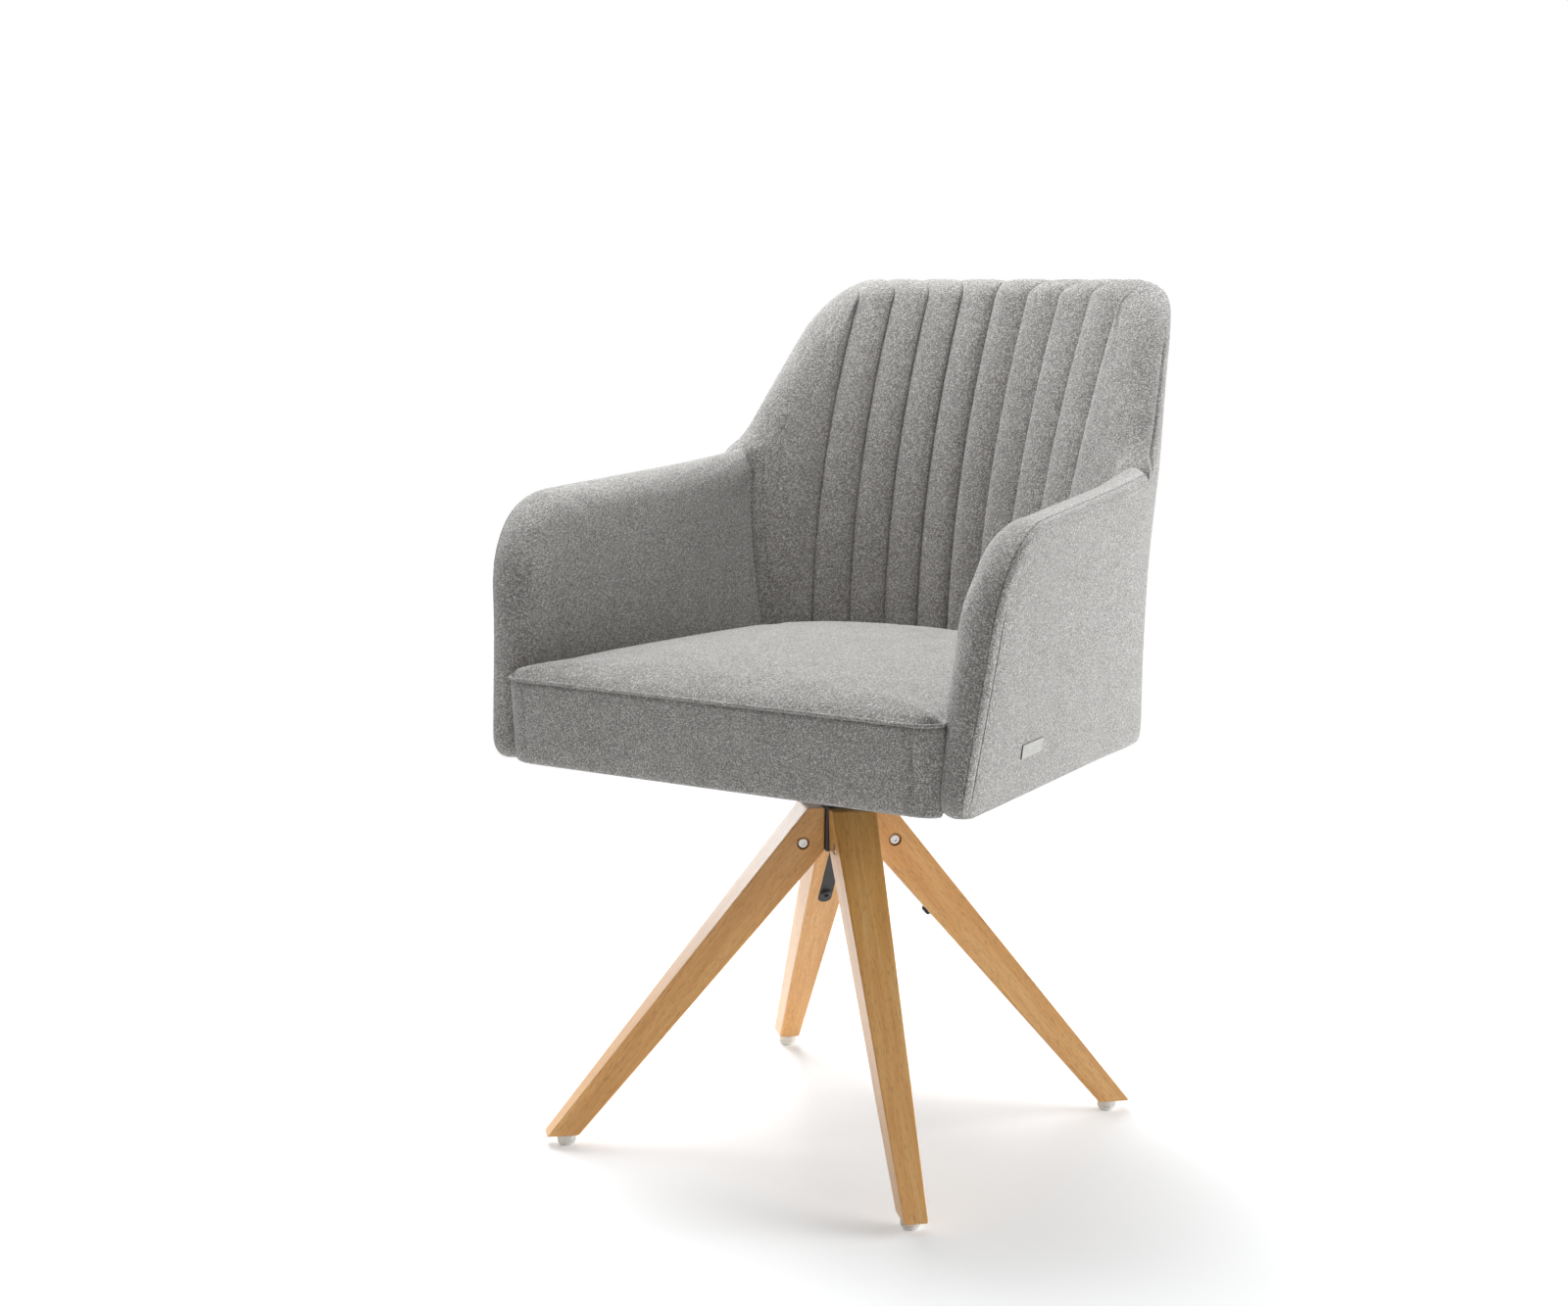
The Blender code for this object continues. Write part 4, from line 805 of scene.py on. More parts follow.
def back_top(column, inset=0.0):
    """Height of the outline above a column, less an inset all round, with the wing's round corner."""
    z = BACK_TOP
    for _ in range(12):
        z = outline_top(edge_x(z) - back_x(column, z), TOP_CORNER, BACK_TOP, inset)
    return z - CREST_DIP * (1 - pillow(column))


def back_edge(x, z, top=BACK_TOP):
    """Distance to the outline of the back: its wings' edges, top corners and top."""
    return outline_edge(edge_x(z) - x, z, TOP_CORNER, BACK_TOP, top)


def arm_sweep(aside):
    """Height of the seam that turns from the arm's top up along the wing's edge."""
    left = np.clip(aside, 0, PANEL_EDGE)
    return ARM_SEAM + PANEL_EDGE - np.sqrt(PANEL_EDGE**2 - left**2)


def below_top(z, gap):
    """0 from a gap under the back's top upwards, 1 well below it."""
    return smooth((BACK_TOP - gap - z) / 0.03)


def tucked(edge):
    """The cover dips where it meets the next panel."""
    return TUCK * smooth(1 - (RIM - edge) / 0.005)


def back_grid(columns, low_rows, insets):
    """x and z over columns and rows: heights beside the arms, shares of the way to the rim, the rim."""
    x, z = [], []
    for column in columns:
        rim = [back_top(column, inset) for inset in insets]
        heights = np.concatenate([low_rows, mix(low_rows[-1], rim[0], UPPER_SHARES[:-1]), rim])
        z.append(heights)
        x.append([back_x(column, height) for height in heights])
    return np.array(x), np.array(z)


def make_back_cover():
    columns = back_columns()
    x, z = back_grid(columns, np.linspace(BACK_LOW, ARM_TOP_REAR, 40), [RIM + LIP, *rim_steps(9)[::-1]])
    s, aside = 1 - x / seam_x(z), edge_x(z) - x
    top = np.array([back_top(column) for column in columns])[:, None]
    puff = np.array([pillow(column) for column in columns])[:, None]
    joined = 1 - smooth((z - (ARM_TOP_REAR - RIM)) / (2 * RIM))
    true_edge = back_edge(x, z, top)
    edge = np.where(joined > 0, np.minimum(aside + joined * 2 * RIM, top - z), true_edge)
    on_wing = smooth((z - ARM_TOP_REAR) / 0.02) * below_top(z, 0.035)
    full, half = mix(fullness(edge), fullness(edge, RIM, 2.5), on_wing), thickness(s, z) / 2
    stands = ((CHANNEL_RISE + SEAM_DEPTH) * puff - SEAM_DEPTH) * np.clip(1 + s / 0.022, 0, 1)
    rise = stands - SEAM_DIP * (smooth(1 - aside / 0.004) * joined)
    front = wall(s, z, half * (1 + full) + rise * full * smooth((z - 0.40) / 0.05))

    from_seam = np.abs(aside - WING_SEAM)
    above_arm = smooth((z - ARM_TOP_REAR + 0.004) / 0.012) * below_top(z, 0.045)
    cut = np.clip(1.35 - from_seam / GROOVE_WIDTH, 0, 1) * smooth(true_edge / 0.002)
    groove = WING_GROOVE * above_arm * cut
    sink = np.where(aside < RIM + LIP, 1 - below_top(z, 0.04), 1) * tucked(np.minimum(edge, RIM))
    covered = np.where(aside > RIM, true_edge, RIM + (arm_sweep(aside) - z))
    behind = np.where(covered > RIM + 1e-6, under_panel(covered), half * (1 - full) + sink + groove)
    back = wall(1 - (x - groove) / seam_x(z), z, behind)

    lines = [float(kind == "channel" and value % 1 == 0) for kind, value in columns]
    sewn = np.maximum(np.array(lines)[:, None], smooth(1.7 - aside / 0.012) * joined)
    held_front = np.maximum(sewn, under_cushion(z))
    held_back = np.where(true_edge > RIM - 0.004, 1.0, sewn)
    held_back = np.maximum(held_back, above_arm * smooth(2 - from_seam / 0.001))
    return skin("back_cover", both_halves(front), both_halves(back),
                (both_halves(held_front), both_halves(held_back)))


back_mesh = fill_cover(make_back_cover(), 0.004)
add_cover("back_cover", back_mesh, "back_pad")
print("back cover", len(back_mesh.polygons), "faces")

# %% [markdown]
# ## Outer panels
# The side panels run from the arms' rims round the rear corners and up beside the wings. The rear
# panel closes the gap between them. They are thin and a little full in the middle, and they dip at the
# two upright seams behind the back.

# %% Outer panels
SPLIT, SPLIT_GAP = 2, 0.02
PANEL_MOST = CORE_FACE - 0.0002
SEWN = 0.006
LABEL_Y, LABEL_Z, LABEL_HALF = -0.094, 0.4405, (0.025, 0.0065)


def dip(distance):
    """Depth of a panel near its edge, below its full face."""
    left = np.clip(1 - distance / SEWN, 0, 1)
    return TUCK * left * left


def panel_hold(edge, z):
    """1 at a panel's sewn edges and along its foot."""
    return np.maximum(smooth(1 - edge / SEWN), smooth(1 - (z - WALL_LOW) / 0.012))


def under_label(points):
    """1 behind the small plate on the side, where the panel stays flat."""
    off_y = np.abs(points[..., 1] - AXIS_Y - LABEL_Y) - LABEL_HALF[0]
    off_z = np.abs(points[..., 2] - LABEL_Z) - LABEL_HALF[1]
    return smooth(1.6 - np.hypot(np.maximum(0, off_y), np.maximum(0, off_z)) / 0.022)


def side_columns():
    """Columns of the side panel behind the arm: those round the seam's turn, then those up to the rim."""
    turn = [("rim", PANEL_EDGE * share) for share in np.sin(np.linspace(0, math.pi / 2, 8))[1:]]
    wing = [("rim", edge) for edge in LIP_STEPS] + [("wing", share) for share in WING_SHARES]
    return turn, wing + [("channel", line) for line in np.linspace(CHANNELS, SPLIT + SPLIT_GAP, 17)]


def side_grid(columns, shares):
    """x and z over those columns: shares of the way to the arm's seam, then on to the rim."""
    x, z = [], []
    for column in columns:
        seam = arm_sweep(column[1]) if column[0] == "rim" else ARM_SEAM + PANEL_EDGE
        rim = max(back_top(column, PANEL_EDGE), seam)
        heights = np.concatenate([WALL_LOW + shares * (seam - WALL_LOW), mix(seam, rim, UPPER_SHARES)])
        z.append(heights)
        x.append([back_x(column, height) for height in heights])
    return np.array(x), np.array(z)


def make_side_cover():
    reach = np.concatenate([PANEL_EDGE + np.array((0, 0.0006, 0.0018)), np.linspace(0.0245, ARM_CORNER, 15),
                            np.linspace(ARM_CORNER, ARM_LENGTH, 50)[1:]])
    shares = np.concatenate([LOW_ROWS / (ARM_HEIGHT - PANEL_EDGE), np.linspace(0.085, 0.965, 32),
                             (0.980, 0.992, 0.9975, 1.0)])
    up = shares * arm_top(reach, arm_rim(reach) + PANEL_GAP)[:, None]
    along = np.broadcast_to(reach[:, None], up.shape)
    s_arm, z_arm = arm_place(along, up)
    turn, wing = side_columns()
    x, z = side_grid(turn + wing, shares)

    def joined(arm, back):
        """One grid from two, with the arm's top row repeated beside the rows above it."""
        above = z.shape[1] - len(shares)
        return np.concatenate([np.pad(arm, ((0, 0), (0, above)), mode="edge"), back])

    s, height = joined(s_arm, 1 - x / seam_x(z)), joined(z_arm, z)
    aside, from_split = edge_x(z) - x, x - channel_x(SPLIT, z)
    edge_arm = arm_edge(along, up) - arm_rim(along) - PANEL_GAP
    edge_back = np.where(aside < PANEL_EDGE, arm_sweep(aside) - z, back_edge(x, z) - PANEL_EDGE)
    edge_back = np.where((aside >= PANEL_EDGE) & (z < ARM_SEAM), 1.0, edge_back)
    edge = np.maximum(0, joined(edge_arm, np.minimum(edge_back, from_split)))
    flush = np.where((s > 0) & (height > ARM_SEAM), below_top(height, 0.04), 1)
    sunk = np.maximum(dip(edge) * (1 - flush), dip(joined(np.ones(up.shape), from_split)))
    turned = joined(turn_in(along), np.zeros(z.shape))
    depth = np.minimum(sunk + under_roll(height, *PANEL_ROLL) + turned, PANEL_MOST)
    keep = np.ones((s.shape[0] - 1, s.shape[1] - 1), bool)
    keep[:len(reach) + len(turn) - 1, len(shares) - 1:] = False
    front, back = wall(s, height, depth), wall(s, height, np.full(s.shape, CORE_FACE))
    held = np.maximum(panel_hold(edge, height), under_label(front))
    return skin("side_cover", front, back, (held, np.ones(s.shape)), keep)


def make_rear_cover():
    columns = [("channel", line) for line in np.linspace(SPLIT - SPLIT_GAP, 0, 20)]
    low_rows = np.concatenate([WALL_LOW + LOW_ROWS, np.linspace(BACK_LOW, ARM_TOP_REAR, 26)])
    x, z = back_grid(columns, low_rows, [PANEL_EDGE])
    s = 1 - x / seam_x(z)
    edge = np.minimum(np.maximum(0, back_edge(x, z) - PANEL_EDGE), channel_x(SPLIT, z) - x)
    depth = np.minimum(dip(edge) + under_roll(z, *PANEL_ROLL), PANEL_MOST)
    grids = (wall(s, z, depth), wall(s, z, np.full(s.shape, PANEL)), panel_hold(edge, z), np.ones(s.shape))
    front, back, held_front, held_back = (both_halves(grid) for grid in grids)
    return skin("rear_cover", front, back, (held_front, held_back))


side_right = fill_cover(make_side_cover(), 0.0045)
add_pair("side_cover", side_right, "side_panel")
add_cover("rear_cover", fill_cover(make_rear_cover(), 0.003), "outer_back")
print("side cover", len(side_right.polygons), "faces")

# %% [markdown]
# ## Seat cushion
# A boxed cushion: a crowned top, a band round it and a thin welt in the seam between them. The top is
# a patch stretched between its four sides, so that its rows stay even into the round front corners. The
# band is sewn together from pieces, with an upright seam near each front corner.

# %% Seat cushion
CUSHION_FRONT, CUSHION_LEAN, BOARD_HIGH = 0.245, 0.110, 0.4094
CUSHION_CORNER, CUSHION_FLARE = 0.026, 0.007
SIDE_GAP, REAR_GAP = 0.0008, 0.0068
CROWN, EDGE_RISE, EDGE_WIDTH = 0.0145, 0.0125, 0.030
ACROSS, DEEP = 45, 88
SEAM_INSET, SEAM_RISE, RISE_FROM = 0.0022, 0.007, 0.44
BAND_FOOT, BAND_SEAM, BAND_CUT = 0.395, 0.0016, 0.0017
PLAIN_RINGS = (0.4020, 0.4120, 0.4260, 0.4370, 0.4480, 0.4580, 0.4670, 0.4730)
BAND = [(0.3942, 0.0050), (0.3945, 0.0032), (0.3956, 0.0015), (0.3978, 0.0004),
        *((z, 0.0) for z in PLAIN_RINGS), (0.4754, 0.0005), (0.4768, 0.0016), (0.4790, SEAM_INSET)]


def resampled(points, count):
    """A line's points moved to even steps along it."""
    points = np.asarray(points, float)
    run = np.concatenate([[0], np.cumsum(np.linalg.norm(np.diff(points, axis=0), axis=1))])
    at = np.linspace(0, run[-1], count)
    return np.stack([np.interp(at, run, points[:, k]) for k in range(points.shape[1])], -1)


def cushion_front(z, inset):
    return -CUSHION_FRONT + CUSHION_LEAN * (SEAT_SEAM - z) + inset


def half_plan(z, inset):
    """Right half of the seat's plan at a height: front, side and back lines."""
    front = cushion_front(z, inset)
    ends = inner_face(np.array((-0.90, -0.10)), np.array((z, z)))
    lean = (ends[0, 0] - ends[1, 0]) / (ends[0, 1] - ends[1, 1])
    flare_end = arm_front_y(z) + RIM

    def side(y):
        flare = CUSHION_FLARE * smooth((flare_end - y) / RIM)
        return ends[0, 0] + lean * (y - ends[0, 1]) + flare - SIDE_GAP - inset

    corner = np.array((side(front) - CUSHION_CORNER, front + CUSHION_CORNER))
    turn = np.radians(np.linspace(-90, 0, 17))
    arc = corner + CUSHION_CORNER * np.stack([np.cos(turn), np.sin(turn)], -1)
    arc[:, 0] = np.minimum(arc[:, 0], side(arc[:, 1]))
    rear_y = ends[1, 1]
    deep = np.linspace(corner[1], rear_y, 60)[1:]
    side_line = np.stack([side(deep), deep], -1)
    across = np.linspace(0.97, 0, 40) * (side(rear_y) - 0.006)
    rear = np.stack([across, inner_back_y(across, z) - REAR_GAP - inset], -1)
    first = np.concatenate([[(0, front)], arc[:9]])
    second = np.concatenate([arc[8:], side_line, rear[:1]])
    return resampled(first, ACROSS), resampled(second, DEEP), resampled(rear, ACROSS)


def plan_sides(z, inset):
    """The plan's sides: front and back from left to right, left and right from front to back."""
    first, second, rear = half_plan(z, inset)
    turned = np.array((-1, 1))
    front = np.concatenate([(first * turned)[:0:-1], first])
    back = np.concatenate([(rear * turned)[:-1], rear[::-1]])
    return front, back, second * turned, second


def patch(front, back, left, right):
    """Even grid of points between four sides."""
    u = np.linspace(0, 1, len(front))[:, None, None]
    v = np.linspace(0, 1, len(left))[None, :, None]
    lines = (1 - v) * front[:, None] + v * back[:, None] + (1 - u) * left[None] + u * right[None]
    corners = ((1 - u) * (1 - v) * front[0] + u * (1 - v) * front[-1] + (1 - u) * v * back[0]
               + u * v * back[-1])
    return lines - corners


def from_middle(grid):
    """How far each column and each row lies from the middle, from 0 to 1."""
    columns, rows = grid.shape[:2]
    return np.abs(np.linspace(-1, 1, columns))[:, None], np.abs(np.linspace(-1, 1, rows))[None]


def plan_loop(z, inset):
    front, back, left, right = plan_sides(z, inset)
    return np.concatenate([front[:-1], right[:-1], back[:0:-1], left[:0:-1]])


def seam_height(y):
    deep = inner_back_y(0, SEAT_SEAM) + CUSHION_FRONT
    return SEAT_SEAM + SEAM_RISE * (y + CUSHION_FRONT) / deep


def band_loop(z, inset):
    """One ring of the band, with the seams that run down near the front corners."""
    loop = plan_loop(z, inset)
    straight = np.nonzero(loop[:2 * ACROSS - 2, 1] < cushion_front(z, inset) + 1e-5)[0]
    seams = [straight.min(), straight.max()]
    sewn = smooth((z - BAND_FOOT) / 0.004) * smooth((SEAT_SEAM - z) / 0.003)
    for seam in seams:
        for beside in (-1, 1):
            loop[seam + beside, 0] = mix(loop[seam + beside, 0], loop[seam, 0] + beside * BAND_SEAM, sewn)
        loop[seam, 1] += BAND_CUT * sewn
    height = np.full(len(loop), z)
    if z > RISE_FROM:
        height += (seam_height(loop[:, 1]) - SEAT_SEAM) * (z - RISE_FROM) / (SEAT_SEAM - RISE_FROM)
    return np.column_stack([loop, height]), seams


def make_cushion():
    top, under = (patch(*plan_sides(*level)) for level in ((SEAT_SEAM, SEAM_INSET), BAND[0]))
    columns, rows = top.shape[:2]
    u, v = from_middle(top)
    width, length = np.ptp(top[..., 0]), np.ptp(top[..., 1])
    from_edge = ((1 - u) * width / 2 + 1e-6) ** -3 + ((1 - v) * length / 2 + 1e-6) ** -3
    rise = EDGE_RISE * fullness(from_edge ** (-1 / 3), EDGE_WIDTH) + CROWN * (1 - u**3) * (1 - v**3)
    top = np.dstack([top, seam_height(top[..., 1]) + rise])
    inside = (u < 0.86) & (v < 0.86)
    under = np.dstack([under, np.where(inside, BOARD_HIGH + 0.0008, BAND[0][0])])
    border = (u > 0.999) | (v > 0.999)
    points = [top.reshape(-1, 3), under.reshape(-1, 3)]
    held = [np.where(border, 1.0, 0.0).ravel(), np.ones(columns * rows)]
    faces = grid_faces(columns, rows) + grid_faces(columns, rows, columns * rows)
    for z, inset in BAND:
        ring, seams = band_loop(z, inset)
        points.append(ring)
        held.append(np.full(len(ring), 1.0 if z < 0.400 or z > 0.4775 else 0.35))
        held[-1][seams] = 1.0
    size = len(ring)
    for level in range(len(BAND) - 1):
        a = 2 * columns * rows + level * size
        faces += [(a + k, a + (k + 1) % size, a + size + (k + 1) % size, a + size + k) for k in range(size)]
    points = np.concatenate(points) + TO_AXIS
    return mesh_of("seat_cushion_cover", points.tolist(), faces, np.concatenate(held).tolist())


cushion = fill_cover(make_cushion(), 0.005)
add_cover("seat_cushion_cover", cushion, "seat_cushion")
print("cushion", len(cushion.polygons), "faces")

# %% [markdown]
# ## Beech
# The legs are solid beech, oiled to a satin shine. Beech has a fine straight grain with short dark
# dashes. Each leg runs outwards and down, so each gets its own copy of the finish, with the grain
# turned along that leg by dot products on Object coordinates.

# %% Beech
LEG_OUT, LEG_DOWN = 0.613, -0.790
BROAD, FINE, DASH = (0.34, 0.020), (0.07, 0.0024), (0.0085, 0.00095)


def make_beech(where, out):
    finish = Finish(f"beech {where.replace('_', ' ')}")
    along = Vector((out.x * LEG_OUT, out.y * LEG_OUT, LEG_DOWN)).normalized()
    across = Vector((out.y, -out.x, 0))
    runs = [finish.field("ShaderNodeVectorMath", {"operation": "DOT_PRODUCT"}, finish.at, tuple(axis),
                         output="Value") for axis in (along, across, along.cross(across))]

    def streaks(length, width, detail):
        place = finish.field("ShaderNodeCombineXYZ", None, runs[0] * (1 / length), runs[1] * (1 / width),
                             runs[2] * (1 / width))
        return finish.noise(1.0, detail, 0.55, at=place)

    broad, fine = streaks(*BROAD, 2.0), streaks(*FINE, 3.0)
    dashes = finish.spread(streaks(*DASH, 1.0), 0.57, 0.70)
    wood = finish.ramp(broad * 0.55 + fine * 0.45, (0.28, srgb("c4883f")), (0.50, srgb("d8a05a")),
                       (0.74, srgb("e7bc7e")))
    finish.set(Base_Color=finish.blend(dashes * 0.42, wood, (*srgb("8a5a2b"), 1)),
               Roughness=fine * 0.16 + 0.32, Coat_Weight=0.45, Coat_Roughness=0.3)
    finish.bump(fine * 0.5 - dashes * 0.6, 0.0002, 0.6)
    return finish.material


legs = [name for name in frame["nodes"] if name.startswith("leg_")]
for name in legs:
    low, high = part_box(name)
    out = Vector(((low[0] + high[0]) / 2, (low[1] + high[1]) / 2 - AXIS_Y, 0)).normalized()
    wear(frame["nodes"][name].data, make_beech(name[4:], out))
print("beech on", len(legs), "legs")

# %% [markdown]
# ## Steel, plastic and board
# The hub and its arms are powder coated: black, satin, with a faint orange peel. Bolts and nuts are
# zinc plated, the plate on the side is brushed, and the boards under the foam are raw plywood. One
# noise gives each finish its two tones and its roughness, and that noise or a finer one its bump.

# %% Steel, plastic and board
BRUSHED = (120.0, 120.0, 2600.0)


def plain_finish(name, dark, light, noise, roughness, bump, stretch=None, fine=None, **more):
    """Finish of two tones; roughness is its least value and how much the noise adds."""
    finish = Finish(name)
    at = stretch and finish.field("ShaderNodeVectorMath", {"operation": "MULTIPLY"}, finish.at, stretch)
    cloud = finish.noise(*noise, at=at)
    least, swing = roughness
    finish.set(Base_Color=finish.ramp(cloud, (0.3, srgb(dark)), (0.7, srgb(light))),
               Roughness=cloud * swing + least, **more)
    finish.bump(finish.noise(*fine) if fine else cloud, *bump)
    return finish.material


def make_metal(name, dark, light, roughness, stretch):
    return plain_finish(name, dark, light, (1.0, 3.0, 0.6), (roughness, 0.2), (0.0001, 0.25), stretch,
                        Metallic=1.0)


def make_plastic(name, dark, light, roughness):
    return plain_finish(name, dark, light, (160.0, 2.0, 0.5), (roughness, 0.14), (0.0001, 0.3),
                        fine=(1400.0, 2.0, 0.5))


BLACK = plain_finish("black powder coat", "232425", "303132", (45.0, 2.0, 0.5), (0.38, 0.18), (0.0003, 0.35),
                     fine=(620.0, 2.0, 0.5))
LINING = plain_finish("black lining", "18181a", "2c2c2e", (900.0, 3.0, 0.7), (0.85, 0.1), (0.0004, 0.6))
ZINC = make_metal("zinc plated steel", "b6b5b2", "eceae6", 0.22, (700.0, 700.0, 700.0))
BRIGHT = make_metal("brushed bright steel", "a9a8a5", "dad9d5", 0.22, BRUSHED)
SATIN = make_metal("satin steel", "8f8e8b", "b2b1ae", 0.36, BRUSHED)
WHITE = make_plastic("white plastic", "eeede8", "fbfaf6", 0.34)
NYLON = make_plastic("natural nylon", "c9c3b2", "dcd7c8", 0.45)
THREAD = make_plastic("grey thread", "6a6662", "807c78", 0.7)
PLYWOOD = plain_finish("raw plywood", "b8935f", "d8b988", (1.0, 3.0, 0.6), (0.6, 0.2), (0.0003, 0.4),
                       (18.0, 260.0, 260.0))
FINISHES = ((BLACK, ("hub", "arm_screw", "swivel_plate")), (ZINC, ("cross_bolt", "sleeve_nut", "plate_bolt")),
            (BRIGHT, ("spindle", "retaining_ring")), (SATIN, ("label_plate",)),
            (NYLON, ("upper_bush", "lower_bush", "thrust_washer")),
            (PLYWOOD, ("seat_board", "back_board", "arm_core")))
for material, starts in FINISHES:
    for name, node in frame["nodes"].items():
        if name.startswith(starts):
            wear(node.data, material)
print("finishes", len(FINISHES))

# %% [markdown]
# ## Growing things with Geometry Nodes
# Ribs, stitches, staples and the welt repeat or follow a path, so a node tree makes them: it takes
# points or a line, sets a small shape on each, and turns the result into real mesh. The result is
# copied out as a plain mesh, because the export keeps no instances.

# %% Growing helper


class Grower(Tree):
    """A tree of Geometry Nodes. Most of its nodes are used by their first output."""

    def make(self, kind, *places, **named):
        return self.node(f"GeometryNode{kind}", None, *places, **named).outputs[0]


def new_tree(name, **inputs):
    """Empty Geometry Nodes tree with named inputs, given as socket types."""
    group = bpy.data.node_groups.new(name, "GeometryNodeTree")
    group.interface.new_socket("Geometry", in_out="INPUT", socket_type="NodeSocketGeometry")
    for key, kind in inputs.items():
        group.interface.new_socket(key.replace("_", " "), in_out="INPUT", socket_type=f"NodeSocket{kind}")
    group.interface.new_socket("Material", in_out="INPUT", socket_type="NodeSocketMaterial")
    group.interface.new_socket("Geometry", in_out="OUTPUT", socket_type="NodeSocketGeometry")
    tree = Grower(group)
    return tree, tree.node("NodeGroupInput").outputs


def close_tree(tree, given, geometry):
    """Ends a tree in Realize Instances and Set Material."""
    solid = tree.make("RealizeInstances", geometry)
    tree.node("NodeGroupOutput", None, tree.make("SetMaterial", Geometry=solid, Material=given["Material"]))
    return tree.tree


def grow(name, lines, group, material, **values):
    """Plain mesh that a tree makes from lines, each a list of points; one point alone is a place."""
    seed = bpy.data.meshes.new(name)
    points, edges = [], []
    for line in lines:
        first = len(points)
        points += [tuple(p) for p in line]
        edges += [(first + k, first + k + 1) for k in range(len(line) - 1)]
    seed.from_pydata(points, edges, [])
    holder = bpy.data.objects.new(name, seed)
    scene.collection.objects.link(holder)
    modifier = holder.modifiers.new("grow", "NODES")
    modifier.node_group = group
    values = {**{key.replace("_", " "): value for key, value in values.items()}, "Material": material}
    for socket in group.interface.items_tree:
        if socket.in_out == "INPUT" and socket.name in values:
            modifier[socket.identifier] = values[socket.name]
    ready = holder.evaluated_get(bpy.context.evaluated_depsgraph_get())
    mesh = bpy.data.meshes.new_from_object(ready)
    bpy.data.objects.remove(holder)
    bpy.data.meshes.remove(seed)
    return mesh


# %% [markdown]
# ## Glides
# Under each leg sits a white plastic glide, a little cup with ribs round it for the fingers. A tree
# sets the ribs on a ring, adds the turned body, and repeats that under the four legs.

# %% Glides
GLIDE_HIGH, GLIDE_RADIUS, GLIDE_FACE, SHOULDER_HIGH = 0.0108, 0.0098, 0.0070, 0.0040
CUP_HIGH, CUP_MIDDLE = GLIDE_HIGH - SHOULDER_HIGH, (GLIDE_HIGH + SHOULDER_HIGH) / 2
NECK, SOLE_HIGH = GLIDE_FACE + 0.0014, SHOULDER_HIGH * 0.38
RIB_WIDTH, RIB_DEPTH = 0.0010, 0.0012


def glide_tree():
    tree, given = new_tree("ribbed glides", Ribs="Int", Radius="Float", Rib_Size="Vector")
    ring = tree.make("MeshCircle", Vertices=given["Ribs"], Radius=given["Radius"])
    rib = tree.make("MeshCube", Size=given["Rib Size"])
    facing = tree.node("FunctionNodeAlignRotationToVector", {"axis": "X"}, Vector=tree.make("InputPosition"))
    ribs = tree.make("InstanceOnPoints", Points=ring, Instance=rib, Rotation=facing.outputs[0])
    cup = tree.make("MeshCylinder", Vertices=40, Radius=GLIDE_RADIUS - 0.0008, Depth=CUP_HIGH)
    flare = tree.make("MeshCone", Vertices=40, Radius_Top=GLIDE_RADIUS, Radius_Bottom=NECK,
                      Depth=SHOULDER_HIGH - SOLE_HIGH)
    sole = tree.make("MeshCone", Vertices=40, Radius_Top=NECK, Radius_Bottom=GLIDE_FACE, Depth=SOLE_HIGH)
    glide = tree.node("GeometryNodeJoinGeometry")
    for shape, height in ((ribs, CUP_MIDDLE), (cup, CUP_MIDDLE), (flare, SOLE_HIGH), (sole, 0.0)):
        tree.join(tree.make("Transform", Geometry=shape, Translation=(0, 0, height)), glide.inputs[0])
    set_out = tree.make("InstanceOnPoints", Points=given["Geometry"], Instance=glide.outputs[0])
    return close_tree(tree, given, set_out)


feet = [name for name in frame["nodes"] if name.startswith("glide_")]
corners = [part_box(name) for name in feet]
places = [[((low[0] + high[0]) / 2, (low[1] + high[1]) / 2, 0.0)] for low, high in corners]
glide_mesh = grow("glides", places, glide_tree(), WHITE, Ribs=26, Radius=GLIDE_RADIUS - 0.0006,
                  Rib_Size=(RIB_DEPTH, RIB_WIDTH, CUP_HIGH - 0.0008))
glides = add_piece("glides", glide_mesh, WHITE, "base")
glides.data.shade_flat()
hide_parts(*feet)
print("glides", len(glide_mesh.polygons), "faces")

# %% [markdown]
# ## Welt and stitches
# A thin welt, a folded strip of the cover cloth, lies in the cushion's top seam. Two rows of
# stitches hold the seam between each arm and the back. The welt is a tube along a line, the stitches are
# small beads set along one.

# %% Welt and stitches
WELT_RADIUS, WELT_OUT = 0.0019, 0.0004
STITCH_PITCH, STITCH = 0.0054, (0.0011, 0.0011, 0.0038)
ROW_ON_ARM, ROW_ON_BACK = -0.007, 0.028
ROW_HEIGHTS = np.linspace(0.500, 0.668, 60)


def welt_tree():
    tree, given = new_tree("welt", Radius="Float")
    path = tree.make("MeshToCurve", given["Geometry"])
    ring = tree.make("CurvePrimitiveCircle", Resolution=10, Radius=given["Radius"])
    return close_tree(tree, given, tree.make("CurveToMesh", path, ring))


def bead_tree(name):
    tree, given = new_tree(name, Pitch="Float", Size="Vector")
    path = tree.make("MeshToCurve", given["Geometry"])
    dots = tree.node("GeometryNodeCurveToPoints", {"mode": "LENGTH"}, Curve=path, Length=given["Pitch"])
    bead = tree.make("MeshUVSphere", Segments=6, Rings=5, Radius=0.5)
    row = tree.make("InstanceOnPoints", Points=dots.outputs["Points"], Instance=bead,
                    Rotation=dots.outputs["Rotation"], Scale=given["Size"])
    return close_tree(tree, given, row)


def welt_line():
    loop = plan_loop(SEAT_SEAM, WELT_OUT)
    points = np.column_stack([loop, seam_height(loop[:, 1]) + WELT_OUT]) + TO_AXIS
    return np.concatenate([points, points[:1]])


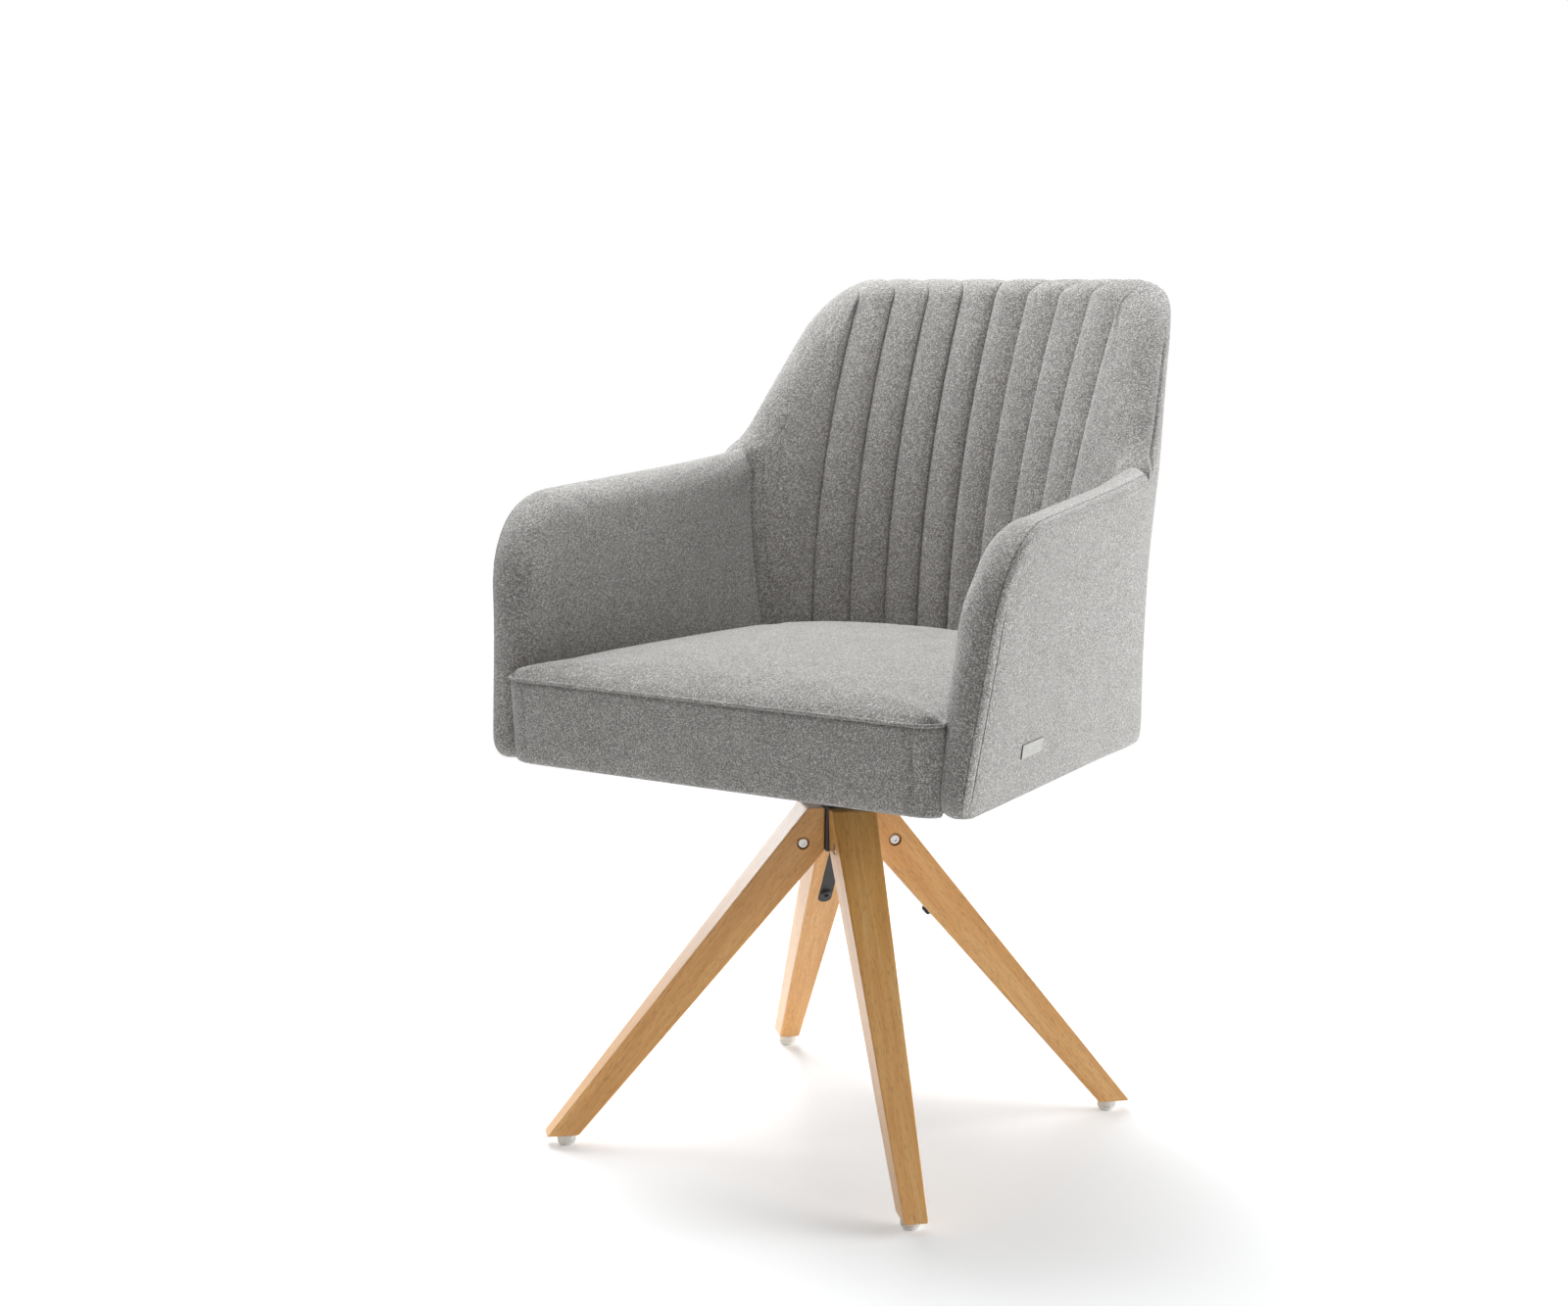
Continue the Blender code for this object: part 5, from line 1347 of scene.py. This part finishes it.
def seam_rows(side):
    """Lines of the two rows beside the seam between an arm and the back, on the covers' faces."""
    z, on_arm, on_back = np.broadcast_arrays(ROW_HEIGHTS, ROW_ON_ARM, ROW_ON_BACK)
    rows = (wall(on_arm, z, thickness(on_arm, z, True) - SEAM_DIP * 0.1, True),
            wall(on_back, z, thickness(on_back, z) + CHANNEL_RISE))
    return [row * np.array((side, 1, 1)) for row in rows]


welt_mesh = grow("seat_welt", [welt_line()], welt_tree(), CLOTH, Radius=WELT_RADIUS)
add_piece("seat_welt", welt_mesh, CLOTH, "seat")
stitch_mesh = grow("seam_stitches", seam_rows(1) + seam_rows(-1), bead_tree("stitches"), THREAD,
                   Pitch=STITCH_PITCH, Size=STITCH)
add_piece("seam_stitches", stitch_mesh, THREAD, "seat")
print("welt", len(welt_mesh.polygons), "faces; stitches", len(stitch_mesh.polygons), "faces")

# %% [markdown]
# ## Dust cover
# A black lining closes the seat from below. It is a flat cut of cloth, pulled tight and stapled to the
# seat board round its edge. It is drawn as a thin grid that sags a millimetre between the staples.

# %% Dust cover
COVER_LOW, COVER_INSET, COVER_THICK, COVER_SAG = 0.3955, 0.014, 0.0008, 0.0010
STAPLE_PITCH, STAPLE, STAPLE_INSET = 0.045, (0.0010, 0.0006, 0.0100), 0.008


def make_dust_cover(plan):
    u, v = from_middle(plan)
    sag = COVER_SAG * (1 - u**8) * (1 - v**8)
    below = np.dstack([plan, COVER_LOW + COVER_SAG - sag]) + TO_AXIS
    above = below + np.array((0, 0, COVER_THICK))
    free = np.zeros(sag.shape)
    mesh = skin("dust_cover_cloth", above, below, (free, free))
    mesh.attributes.remove(mesh.attributes["held"])
    return mesh


cover_plan = patch(*plan_sides(COVER_LOW, COVER_INSET))
dust_cover = add_piece("dust_cover_cloth", make_dust_cover(cover_plan), LINING, "seat")
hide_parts("dust_cover")
staple_line = plan_loop(COVER_LOW, COVER_INSET + STAPLE_INSET)
staple_line = np.column_stack([staple_line, np.full(len(staple_line), COVER_LOW - 0.0001)]) + TO_AXIS
staple_mesh = grow("dust_cover_staples", [staple_line], bead_tree("staples"), ZINC, Pitch=STAPLE_PITCH,
                   Size=STAPLE)
add_piece("dust_cover_staples", staple_mesh, ZINC, "seat")

low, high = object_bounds()
print("visual box", [round(x, 4) for x in (*low, *high)])
